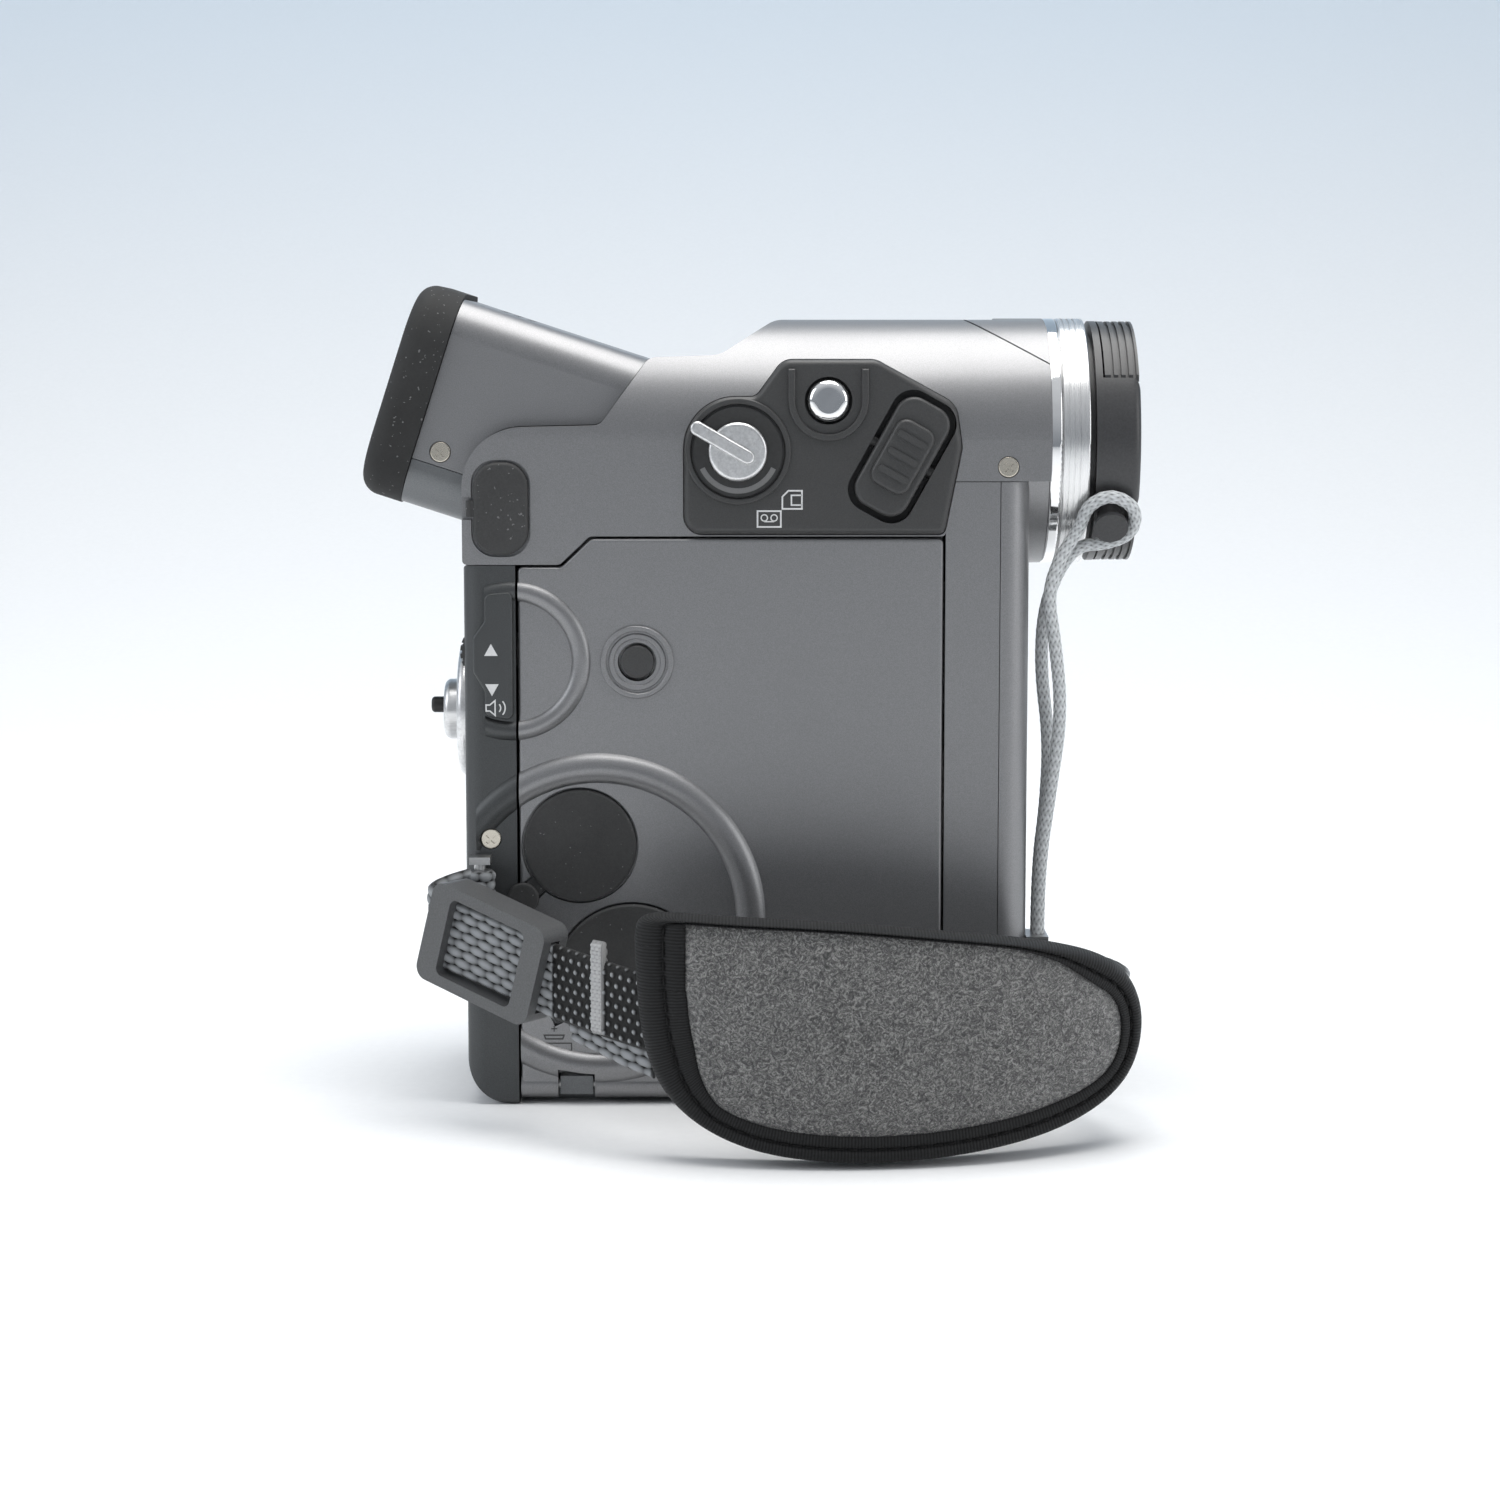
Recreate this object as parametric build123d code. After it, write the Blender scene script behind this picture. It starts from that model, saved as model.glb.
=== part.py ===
from build123d import *
from math import atan2, cos, degrees, pi, radians, sin, tan
import os

# Hand-held tape camcorder. Millimetres. +X is where the lens looks, +Z is up,
# -Y is the right-hand side with the cassette cover and the hand strap.
# The origin is the point of the flat base straight under the lens axis, midway along the body.

# ---- casing ---------------------------------------------------------------
body_rear = -38.4            # X of the rear face
body_length = 75.9           # rear face to the front face under the lens
grip_half_width = 19.0       # lens axis to the right-hand face
lower_height = 73.3          # base to the top of the lower casings
upper_rise = 32.7            # top of the lower casings to the top of the lens housing
wall = 2.0                   # moulded casing wall
seam = 0.1                   # gap between casings that are screwed together
door_gap = 0.25              # gap round the moving cassette cover
trim_width = 7.1             # dark rear trim, seen from the right-hand side
strip_width = 11.4           # front strip, seen from the right-hand side
step_height = 3.8            # how far the cassette cover steps up behind the controls

body_front = body_rear + body_length
grip_face = -grip_half_width
upper_top = lower_height + upper_rise
trim_edge = body_rear + trim_width
strip_edge = body_front - strip_width

# ---- lens -----------------------------------------------------------------
lens_z = upper_top - 16.6    # height of the lens axis
ring_radius = 16.8           # outside of the chrome and silver lens rings
mount_face = body_front + 2.6
chrome_length = 1.7
silver_length = 3.8
ring_wall = 1.8              # silver ring, outside to the bore that the cap plugs into
barrel_inset = 3.6           # outside of the rings to the outside of the black tube
cap_gap = 0.8
cap_thickness = 6.0
cap_inset = 0.35             # the cap is this much smaller than the rings
tab_travel = 1.2
tab_height = 8.2             # squeeze tabs, rim to their straight inner edge
tab_side_wall = 2.85         # cap material beside each tab, at the rim

ring_bore = ring_radius - ring_wall
barrel_radius = ring_radius - barrel_inset
cap_radius = ring_radius - cap_inset
tab_half_width = cap_radius - tab_side_wall

# ---- cassette cover and deck -----------------------------------------------
door_thickness = 2.3
hinge_z = 2.6                # cassette cover hinge, along X at the bottom edge
hinge_y = grip_face + 1.8
hinge_pin_radius = 0.6
running_gap = 0.05           # radial clearance of pins and shafts
cassette_height = 66.0
cassette_depth = 48.0
cassette_thickness = 12.2
socket_space = 2.1           # between the door and the cassette, for sockets and posts
deck_gap = 1.4               # cassette to the deck plate
drum_radius = 10.85
drum_height = 9.6

# ---- right-hand controls ----------------------------------------------------
panel_proud = 0.8            # control panel stands out of the housing by this
panel_depth = 6.4
dial_x, dial_z = -1.6, lens_z - 0.9
dial_radius = 3.9
lever_length = 7.1
lever_width = 1.9
lever_angle = 150.0
photo_x, photo_z = 10.4, lens_z + 5.8
photo_radius = 2.8
zoom_x, zoom_z = 20.2, lens_z - 1.6
zoom_lean = 29.0             # degrees that the rocker leans towards the lens
zoom_width, zoom_length = 7.7, 16.0
audio_x, audio_z = -15.1, 60.4
audio_radius = 2.25
press_gap = 0.35             # round a push button
big_ring_x, big_ring_z, big_ring_radius = -20.4, 25.6, 20.5
small_ring_x, small_ring_z, small_ring_radius = -32.0, 60.5, 9.4
s_cover_x, s_cover_z, s_cover_radius = -22.9, 35.6, 7.6
av_cover_x, av_cover_z, av_cover_radius = -16.0, 17.3, 10.3
cover_gap = 0.3
cover_recess = 1.2
mic_x, mic_z = -33.2, lower_height + 7.6
mic_cover_width, mic_cover_height = 7.3, 12.3

# ---- viewfinder ---------------------------------------------------------------
finder_tilt = 18.0           # degrees that the tube rises towards the rear
finder_top_x, finder_top_z = -38.4, upper_top + 2.6   # top edge of its rear end
finder_height = 28.4
finder_half_width = 15.5
finder_base_height = 6.2
eyecup_thickness = 6.2
eyecup_overhang = 1.3

# ---- screen panel ---------------------------------------------------------------
screen_low, screen_high = 18.0, 71.0
screen_rear = -30.0
screen_front_wall = 2.2
screen_thickness = 7.0
screen_gap = 0.4
screen_pin_radius = 1.0

# ---- rear controls ----------------------------------------------------------------
record_y, record_z = -4.5, 52.6
record_ring_radius = 9.2
record_radius = 4.15
wheel_y, wheel_z = grip_face + 3.7, 61.5
wheel_radius, wheel_width = 4.2, 2.4
wheel_proud = 0.6            # the wheel looks out of the rear face by this

# ---- hand strap ---------------------------------------------------------------------
strap_width = 10.0
strap_thickness = 1.5
pad_thickness = 6.5
pad_bend_radius = 63.0
pad_bend_x, pad_bend_y = 9.7, grip_face + 25.3
pad_binding = 4.2
strap_front_z = 16.5
strap_rear_z = 27.6

# ---- lens cap cord -------------------------------------------------------------------
cord_diameter = 1.8
lug_x = mount_face + chrome_length + silver_length + cap_gap + 2.0
lug_angle = 215.0            # round the lens axis, from +Y towards +Z
lug_radius = 1.6

# ---- fasteners and base -----------------------------------------------------------------
screw_head_radius = 1.4
rear_screw_z = 36.5
tripod_x, tripod_y = -8.0, 5.8
tripod_radius = 5.0          # metal insert in the base
tripod_bore_radius = 2.6     # 1/4-20 thread, modelled at its minor diameter
tripod_bore_length = 5.0
battery_x = (1.0, 33.2)
battery_thickness = 13.8
deck_to_battery = 3.6
battery_clearance = 0.6      # battery to the liner of the screen's bay
bay_wall = 1.6               # liner of the bay that the screen panel folds into
battery_z = (2.6, 46.0)
battery_door_inset = 6.6     # battery's near face to the near edge of its door
battery_door_gap = 0.2

cassette_inner_y = grip_face + door_thickness + socket_space
deck_y = cassette_inner_y + cassette_thickness + deck_gap
battery_y = (deck_y + deck_to_battery, deck_y + deck_to_battery + battery_thickness)
left_face = battery_y[1] + battery_clearance + bay_wall + screen_gap + screen_thickness


# ===========================================================================
# drawing helpers
# ===========================================================================
def outline(*corners):
    """Closed flat outline from corners given as (a, b, corner radius)."""
    points = [(a, b) for a, b, _ in corners]
    radii = [radius for _, _, radius in corners]
    return make_face(FilletPolyline(*points, radius=radii, close=True).edges())


def along_y(sketch, low, high):
    """A sketch drawn as (x, z), made solid between two values of Y."""
    return Pos(0, high, 0) * extrude(Plane.XZ * sketch, high - low)


def along_x(sketch, low, high):
    """A sketch drawn as (y, z), made solid between two values of X."""
    return Pos(low, 0, 0) * extrude(Plane.YZ * sketch, high - low)


def along_z(sketch, low, high):
    """A sketch drawn as (x, y), made solid between two values of Z."""
    return Pos(0, 0, low) * extrude(sketch, high - low)


def block(x, y, z):
    """A box from three (low, high) pairs."""
    size = [high - low for low, high in (x, y, z)]
    middle = [(high + low) / 2 for low, high in (x, y, z)]
    return Pos(*middle) * Box(*size)


def rod_x(radius, low, high, y, z):
    return Pos((low + high) / 2, y, z) * Rot(0, 90, 0) * Cylinder(radius, high - low)


def rod_y(radius, low, high, x, z):
    return Pos(x, (low + high) / 2, z) * Rot(90, 0, 0) * Cylinder(radius, high - low)


def rod_z(radius, low, high, x, y):
    return Pos(x, y, (low + high) / 2) * Cylinder(radius, high - low)


def grown(sketch, amount):
    return offset(sketch, amount, kind=Kind.INTERSECTION) if amount else sketch


def rim_fillet(solid, axis, radius, last=True):
    """Round the edges of a solid's outermost flat face along an axis."""
    faces = solid.faces().sort_by(axis)
    face = faces[-1] if last else faces[0]
    return fillet(face.edges(), radius)


# ===========================================================================
# outer shape that the casings share
# ===========================================================================
def upper_side(grow=0.0):
    """Side view of the upper housing, from the rear collar to the lens mount."""
    bottom = lower_height + seam
    step = bottom + step_height
    front_step = bottom + 11.1
    shape = outline(
        (body_rear, bottom, 0.6),
        (body_rear, bottom + 18.1, 8.0),
        (body_rear + 18.4, bottom + 18.5, 2.0),
        (body_rear + 24.9, bottom + 27.5, 2.0),
        (body_rear + 34.3, bottom + 27.8, 4.0),
        (body_rear + 41.8, upper_top, 4.0),
        (mount_face, upper_top, 1.2),
        (mount_face, front_step, 0),
        (strip_edge, front_step, 0),
        (strip_edge, step, 0.6),
        (body_rear + 17.0, step, 1.0),
        (body_rear + 13.0, bottom, 1.0),
    )
    return grown(shape, grow)


def upper_left_fill(grow=0.0):
    """On the left the housing comes straight down to the lower casings."""
    low = lower_height + seam
    shape = Pos((body_rear + strip_edge) / 2, low + 7) * Rectangle(strip_edge - body_rear, 14)
    return along_y(grown(shape, grow), grip_face + 7.0 - grow, grip_half_width + 1)


def upper_section(grow=0.0):
    """Front view of the upper housing: flat flanks under a round top."""
    low = lower_height - 6
    shape = outline(
        (-grip_half_width, low, 0),
        (grip_half_width, low, 0),
        (grip_half_width, upper_top, 16.0),
        (-grip_half_width, upper_top, 16.0),
    )
    return grown(shape, grow)


def upper_envelope(grow=0.0):
    side = along_y(upper_side(grow), -grip_half_width - 1, grip_half_width + 1) + upper_left_fill(grow)
    return side & along_x(upper_section(grow), body_rear - 2, mount_face + 2)


def lower_envelope(grow=0.0):
    """Everything under the upper housing, with its rounded corners."""
    side = outline(
        (body_rear, 0, 6.5),
        (body_front, 0, 5.0),
        (body_front, lower_height, 0.6),
        (body_rear, lower_height, 0.6),
    )
    plan = outline(
        (body_rear, grip_face, 2.5),
        (body_front, grip_face, 4.0),
        (body_front, left_face, 8.0),
        (body_rear, left_face, 9.0),
    )
    section = outline(
        (grip_face, 0, 1.0),
        (left_face, 0, 4.0),
        (left_face, lower_height, 5.0),
        (grip_face, lower_height, 0),
    )
    body = along_y(grown(side, grow), grip_face - grow, left_face + grow)
    body &= along_z(grown(plan, grow), -grow, lower_height + grow)
    body &= along_x(grown(section, grow), body_rear - grow, body_front + grow)
    return body


def front_riser(grow=0.0):
    """The front casings climb beside the lens mount."""
    high = lower_height + 11.1
    plan = outline(
        (strip_edge, grip_face, 0),
        (body_front, grip_face, 4.0),
        (body_front, grip_half_width, 4.0),
        (strip_edge, grip_half_width, 0),
    )
    riser = along_z(grown(plan, grow), lower_height - 12, high + grow)
    return riser - rod_x(ring_radius + 0.3 - grow, body_rear, body_front + 9, 0, lens_z)


def left_seam():
    """Y where the left casing meets the front, rear and bottom casings."""
    return left_face - screen_thickness - screen_gap - wall + 0.3


def lower_shell():
    outer = lower_envelope() + front_riser()
    inner = lower_envelope(-wall) + (front_riser(-wall) - block((-99, 99), (-99, 99), (0, lower_height)))
    return outer - inner


# ===========================================================================
# upper housing and viewfinder
# ===========================================================================
def panel_outline(grow=0.0):
    """Control panel as seen from the right: it bulges round the dial and the photo button."""
    low = lower_height + seam + step_height + door_gap
    shape = outline(
        (dial_x - 7.2, low, 2.5),
        (dial_x - 7.2, dial_z + 7.2, 6.9),
        (dial_x + 2.4, dial_z + 7.2, 1.5),
        (photo_x - 6.0, photo_z + 5.4, 2.5),
        (photo_x + 6.4, photo_z + 5.4, 3.0),
        (zoom_x + 7.2, zoom_z + 6.9, 3.0),
        (zoom_x + 8.0, zoom_z + 1.2, 3.0),
        (zoom_x + 5.7, low, 1.0),
    )
    return grown(shape, grow)


def upper_housing():
    shell = upper_envelope() - upper_envelope(-wall)
    flange = rod_x(ring_radius, body_front - 4, mount_face, 0, lens_z)
    shell += flange - upper_envelope(-wall)
    shell -= rod_x(barrel_radius + 0.3, body_front - 31, mount_face + 1, 0, lens_z)
    shell -= plate_groove()
    panel_back = grip_face - panel_proud + panel_depth
    shell -= along_y(panel_outline(seam), grip_face - 4, panel_back + seam)
    shell -= along_y(mic_cover_outline(cover_gap), grip_face - 1, grip_face + 1.0)
    shell -= rod_y(1.75, grip_face - 1, grip_face + 10, mic_x + 0.6, mic_z)
    shell -= block((body_rear - 1, mic_x), (grip_face - 1, grip_face + 0.9), (mic_z - 1.5, mic_z + 1.5))
    shell -= screw_wells()
    return shell


def plate_groove():
    """Fine seam of the triangular plate on top of the housing, behind the lens."""
    corner, tip = (mount_face - 12.0, upper_top + 0.5), (mount_face + 0.5, upper_top - 6.4)
    line = outline(
        (corner[0], corner[1], 0), (corner[0] + 0.35, corner[1], 0),
        (tip[0], tip[1] + 0.2, 0), (tip[0], tip[1], 0),
    )
    skin = upper_envelope(1.0) - upper_envelope(-0.25)
    return along_y(line, -grip_half_width, grip_half_width) & skin


def finder_frame():
    """Plane at the tube's rear end: local x across, local y up the tube's end, z out of it."""
    tilt = radians(finder_tilt)
    return Plane(
        origin=(finder_top_x, 0, finder_top_z),
        x_dir=(0, -1, 0),
        z_dir=(-cos(tilt), 0, sin(tilt)),
    )


def finder_section(low, high, half_width, radius):
    return outline(
        (-half_width, low, radius), (half_width, low, radius),
        (half_width, high, radius), (-half_width, high, radius),
    )


def finder_solid(half_width, low, high, start, end, radius):
    """A piece of the tilted tube; start and end are distances out of its rear plane."""
    sketch = finder_frame() * finder_section(low, high, half_width, radius)
    rear = finder_frame().z_dir
    return Pos(*(rear * start)) * extrude(sketch, end - start)


def finder_tube():
    length = 27.5
    tube = finder_solid(finder_half_width, -finder_height, 0, -length, 0, 5.0)
    bore = finder_solid(finder_half_width - wall, wall - finder_height, -wall, -length - 1, -3.0, 3.2)
    eye_hole = finder_solid(9.5, -21.5, -7.0, -4.0, 1.0, 3.0)
    return (tube - bore - eye_hole) - upper_envelope(seam) - lower_envelope(seam)


def finder_cut(low, high):
    return finder_solid(finder_half_width + 2, low, high, -40, 8, 0)


def viewfinder_housing():
    tube = finder_tube() & finder_cut(finder_base_height - finder_height + seam / 2, 3)
    for row in range(3):
        for column in range(8):
            across = -6.3 + 1.8 * column + 0.9 * (row % 2)
            hole = finder_frame() * Pos(across, 0, -5.0 - 1.9 * row)
            tube -= hole * Rot(90, 0, 0) * Cylinder(0.55, 1.6)
    return tube


def viewfinder_base():
    slot = finder_solid(5.0, -finder_height - 1, -finder_height + 1.0, -7.6, -3.6, 0.8)
    base = finder_tube() & finder_cut(-finder_height - 3, finder_base_height - finder_height - seam / 2)
    return (base & block((-99, body_rear - seam), (-99, 99), (0, 199))) - slot


def dioptre_lever():
    pad = finder_solid(1.6, -finder_height - 0.6, -finder_height + 0.7, -6.7, -4.5, 0.3)
    return pad


def eyecup():
    low, high = -finder_height - eyecup_overhang + 1.0, eyecup_overhang - 0.6
    cup = finder_solid(finder_half_width + eyecup_overhang, low, high, seam, eyecup_thickness, 8.0)
    back = cup.faces().sort_by(Axis(finder_frame().origin, finder_frame().z_dir))[-1]
    cup = fillet(back.edges(), 2.6)
    return cup - finder_solid(9.9, -22.0, -6.5, -1, eyecup_thickness + 1, 3.5)


def eyepiece_lens():
    glass = finder_solid(9.3, -21.3, -7.2, -3.0, -1.2, 2.8)
    return glass & finder_cut(-30, 2)


# ===========================================================================
# right-hand control panel
# ===========================================================================
def u_frame(radius, grow_top):
    """A U that opens at the top of the panel round the photo button."""
    top = photo_z + 5.4 + grow_top
    shape = Pos(photo_x, photo_z) * Circle(radius)
    shape += Pos(photo_x, (photo_z + top) / 2) * Rectangle(2 * radius, top - photo_z)
    return shape


def zoom_place(sketch):
    return Pos(zoom_x, zoom_z) * Rot(0, 0, -zoom_lean) * sketch


def zoom_pivot_y():
    return grip_face + 1.0


def zoom_axis_rod(radius, half_length):
    """Pin across the rocker, square to its length."""
    pin = Pos(zoom_x, zoom_pivot_y(), zoom_z) * Rot(0, zoom_lean, 0) * Rot(0, 90, 0)
    return pin * Cylinder(radius, 2 * half_length)


def control_panel():
    front = grip_face - panel_proud
    panel = along_y(panel_outline(), front, front + panel_depth)
    panel = rim_fillet(panel, Axis.Y, 0.9, last=False)
    ridge = along_y(u_frame(5.35, -1.2), front - 0.6, front + 0.2)
    ridge -= along_y(u_frame(4.4, 2), front - 1, front + 1)
    panel += rim_fillet(ridge, Axis.Y, 0.25, last=False)
    ring = rod_y(7.05, front - 0.5, front + 0.5, dial_x, dial_z)
    ring -= rod_y(6.2, front - 1, front + 1, dial_x, dial_z)
    panel += rim_fillet(ring, Axis.Y, 0.25, last=False)
    panel -= rod_y(1.5 + running_gap, front - 1, front + 4.6, dial_x, dial_z)
    panel -= rod_y(photo_radius + press_gap, front - 1, front + 2.6, photo_x, photo_z)
    panel -= rod_y(1.2 + press_gap, front, front + 4.6, photo_x, photo_z)
    recess = zoom_place(RectangleRounded(zoom_width + 1.5, zoom_length + 1.6, 3.0))
    panel -= along_y(recess, front - 1, front + 3.4)
    return panel - zoom_axis_rod(0.8 + running_gap, zoom_width / 2 + 1.8)


def mode_dial():
    """Silver knob with a pointer, on a shaft through the panel."""
    front = grip_face - panel_proud
    top = front - 2.2
    knob = rim_fillet(rod_y(dial_radius, top, front - 0.25, dial_x, dial_z), Axis.Y, 0.5, last=False)
    skirt = rod_y(5.9, front - 0.9, front - 0.25, dial_x, dial_z)
    slot = SlotOverall(lever_length + 2.4, lever_width)
    bar = Rot(0, 0, lever_angle) * Pos(lever_length / 2 - 1.2, 0) * slot
    pointer = along_y(Pos(dial_x, dial_z) * bar, top - 0.8, front - 0.8)
    pointer = rim_fillet(pointer, Axis.Y, 0.35, last=False)
    shaft = rod_y(1.5, front - 0.4, front + 4.2, dial_x, dial_z)
    return knob + skirt + pointer + shaft


def photo_button():
    front = grip_face - panel_proud
    head = rod_y(photo_radius, front - 1.3, front + 0.9, photo_x, photo_z)
    head = fillet(head.edges().sort_by(Axis.Y)[0], 1.1)
    return head + rod_y(1.2, front + 0.9, front + 3.2, photo_x, photo_z)


def zoom_rocker():
    front = grip_face - panel_proud
    plate = along_y(zoom_place(RectangleRounded(zoom_width, zoom_length, 2.6)), front - 0.6, front + 1.9)
    plate = rim_fillet(plate, Axis.Y, 0.6, last=False)
    rest = along_y(zoom_place(RectangleRounded(5.6, 9.6, 1.6)), front - 1.6, front - 0.4)
    rest = rim_fillet(rest, Axis.Y, 0.5, last=False)
    for shift in (-2.6, 0.0, 2.6):
        rib = zoom_place(Pos(0, shift) * SlotOverall(4.4, 0.9))
        rest += along_y(rib, front - 2.0, front - 1.0)
    return plate + rest + zoom_axis_rod(0.8, zoom_width / 2 + 1.4)


def mic_cover_outline(grow=0.0):
    shape = RectangleRounded(mic_cover_width + 2 * grow, mic_cover_height + 2 * grow, 3.2)
    return Pos(mic_x, mic_z) * shape


def mic_cover_axis():
    """Where the microphone cover's strap bends, beside its rear edge."""
    return (mic_x - mic_cover_width / 2 - 0.55, grip_face - 0.1)


def mic_cover():
    lid = along_y(mic_cover_outline(), grip_face - 0.7, grip_face + 0.75)
    lid = rim_fillet(lid, Axis.Y, 0.5, last=False)
    hinge_x, pivot_y = mic_cover_axis()
    neck = block((hinge_x, mic_x), (pivot_y - 0.35, pivot_y + 0.35), (mic_z - 1.1, mic_z + 1.1))
    bead = rod_z(0.45, mic_z - 1.1, mic_z + 1.1, hinge_x, pivot_y)
    return lid + neck + bead


def mic_jack():
    """Microphone socket behind its cover."""
    body = rod_y(3.0, grip_face + wall + 0.05, grip_face + wall + 7.0, mic_x + 0.6, mic_z)
    return body - rod_y(1.75, grip_face, grip_face + wall + 6.0, mic_x + 0.6, mic_z)


# ===========================================================================
# lower casings
# ===========================================================================
def door_edge_front():
    return strip_edge - door_gap


def door_edge_rear():
    return trim_edge + door_gap


def door_outline(grow=0.0):
    low_top = lower_height - door_gap + seam
    high_top = low_top + step_height
    shape = outline(
        (door_edge_rear(), 0.8, 0.4),
        (door_edge_front(), 0.8, 0.4),
        (door_edge_front(), high_top, 0.8),
        (body_rear + 17.2, high_top, 1.0),
        (body_rear + 13.2, low_top, 1.0),
        (door_edge_rear(), low_top, 0.8),
    )
    return grown(shape, grow)


def ring_ridge(x, z, radius, minor, rise):
    """A round moulded ridge that stands out of the right-hand face by rise."""
    return Pos(x, grip_face + minor - rise, z) * Rot(90, 0, 0) * Torus(radius, minor)


def tether_point(cover_x, cover_z, radius, anchor_angle):
    """Where a jack cover's rubber strap bends, just outside the cover."""
    reach = radius + 1.1
    angle = radians(anchor_angle)
    return cover_x + reach * cos(angle), cover_z + reach * sin(angle)


s_tether_angle = 223.0
av_tether_angle = 205.0


def cover_keyhole(x, z, radius, angle, grow):
    """Round jack cover with a short strap towards its fixing disc."""
    reach = radius + 1.9
    end_x, end_z = x + reach * cos(radians(angle)), z + reach * sin(radians(angle))
    shape = Pos(x, z) * Circle(radius + grow)
    strap = Pos((x + end_x) / 2, (z + end_z) / 2) * Rot(0, 0, angle) * Rectangle(reach, 2.4 + 2 * grow)
    return shape + strap


def cassette_cover():
    """Silver door over the tape deck, hinged along its bottom edge."""
    inner = grip_face + door_thickness
    door = along_y(door_outline(), grip_face, inner)
    door = rim_fillet(door, Axis.Y, 0.5, last=False)
    clip = along_y(door_outline(-0.05), grip_face - 3, inner)
    ridges = ring_ridge(big_ring_x, big_ring_z, big_ring_radius, 2.4, 1.1)
    ridges += ring_ridge(small_ring_x, small_ring_z, small_ring_radius, 1.5, 0.7)
    door += ridges & clip
    for radius, rise in ((4.9, 0.5), (3.85, 0.25)):
        collar = rod_y(radius, grip_face - rise, grip_face + 1, audio_x, audio_z)
        collar -= rod_y(radius - 0.75, grip_face - 2, grip_face + 2, audio_x, audio_z)
        door += rim_fillet(collar, Axis.Y, 0.2, last=False)
    door -= rod_y(audio_radius + press_gap, grip_face - 1, inner + 1, audio_x, audio_z)
    floor = grip_face + cover_recess
    s_outline = cover_keyhole(s_cover_x, s_cover_z, s_cover_radius, s_tether_angle, cover_gap)
    av_outline = cover_keyhole(av_cover_x, av_cover_z, av_cover_radius, av_tether_angle, cover_gap)
    door -= along_y(s_outline, grip_face - 2, floor)
    door -= along_y(av_outline, grip_face - 2, floor)
    door -= rod_y(4.9, grip_face, inner + 1, s_cover_x, s_cover_z)
    door -= rod_y(5.3, grip_face, inner + 1, av_cover_x, av_cover_z)
    lower_edge = along_x(Pos(hinge_y, hinge_z) * Circle(1.9), door_edge_rear(), door_edge_front())
    door -= block((-99, 99), (grip_face - 1, inner + 1), (0, hinge_z))
    door += lower_edge
    for low, high in knuckle_gaps():
        door -= block((low, high), (grip_face - 1, hinge_y + 3), (0, hinge_z + 2.4))
    return door - rod_x(hinge_pin_radius + running_gap, -99, 99, hinge_y, hinge_z)


def knuckle_gaps():
    """Stretches of the bottom edge where the base holds the hinge pin."""
    middle = (door_edge_rear() + door_edge_front()) / 2
    rear_pair = (door_edge_rear() + 5, door_edge_rear() + 10)
    front_pair = (door_edge_front() - 10, door_edge_front() - 5)
    return rear_pair, (middle - 3, middle + 3), front_pair


def cassette_hinge_pin():
    return rod_x(hinge_pin_radius, door_edge_rear() + 0.5, door_edge_front() - 0.5, hinge_y, hinge_z)


def hook_cover(x, z, radius, angle):
    """Soft jack cover: a disc, a plug under it and half of its strap."""
    low = grip_face - 0.5
    lid = along_y(Pos(x, z) * Circle(radius), low, grip_face + cover_recess - 0.25)
    lid = rim_fillet(lid, Axis.Y, 0.4, last=False)
    bend_x, bend_z = tether_point(x, z, radius, angle)
    reach = radius + 1.1
    middle = Pos(x + reach / 2 * cos(radians(angle)), z + reach / 2 * sin(radians(angle)))
    strap = middle * Rot(0, 0, angle) * Rectangle(reach, 2.4)
    pivot = grip_face + 0.35
    lid += along_y(strap, pivot - 0.4, pivot + 0.4)
    bead = Pos(bend_x, pivot, bend_z) * Rot(0, -angle, 0) * Cylinder(0.45, 2.4)
    return lid + bead + rod_y(3.0, grip_face + 0.5, grip_face + 2.0, x, z)


def jack_board():
    """Small board behind the cover with the two sockets that the jack covers hide."""
    front = grip_face + door_thickness
    board = block((door_edge_rear() + wall, -4.0), (front + 0.05, front + 1.05), (6.0, 43.5))
    pin_offsets = ((-1.6, 0.9), (1.6, 0.9), (-0.9, -1.4), (0.9, -1.4))
    s_pins = [(s_cover_x + dx, s_cover_z + dz, 0.45) for dx, dz in pin_offsets]
    av_pins = [(av_cover_x - 2.2, av_cover_z, 1.75), (av_cover_x + 2.4, av_cover_z + 0.9, 0.8)]
    for x, z, radius in s_pins + av_pins:
        board -= rod_y(radius, front - 1, front + 0.8, x, z)
    return board


def audio_level_button():
    cap = rod_y(audio_radius, grip_face - 0.3, grip_face + 1.4, audio_x, audio_z)
    cap = rim_fillet(cap, Axis.Y, 0.3, last=False)
    return cap + rod_y(1.3, grip_face + 1.4, grip_face + door_thickness - 0.2, audio_x, audio_z)


cassette_rear = -28.0
cassette_low = 4.6


def mouth(grow):
    """Opening at the front of the cassette, where the head drum reaches in."""
    middle = cassette_low + 33.0
    return block((10.4 - grow, 60), (grip_face, 20), (middle - 16.4 - grow, middle + 16.6 + grow))


def tape_cassette():
    x = (cassette_rear, cassette_rear + cassette_depth)
    y = (cassette_inner_y, cassette_inner_y + cassette_thickness)
    shell = block(x, y, (cassette_low, cassette_low + cassette_height))
    shell = fillet(shell.edges().filter_by(Axis.Y), 1.2) - mouth(0)
    for z in (cassette_low + 18.0, cassette_low + 48.0):
        shell -= rod_y(3.0, y[1] - 4, y[1] + 1, -15.5, z)
    return shell


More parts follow.
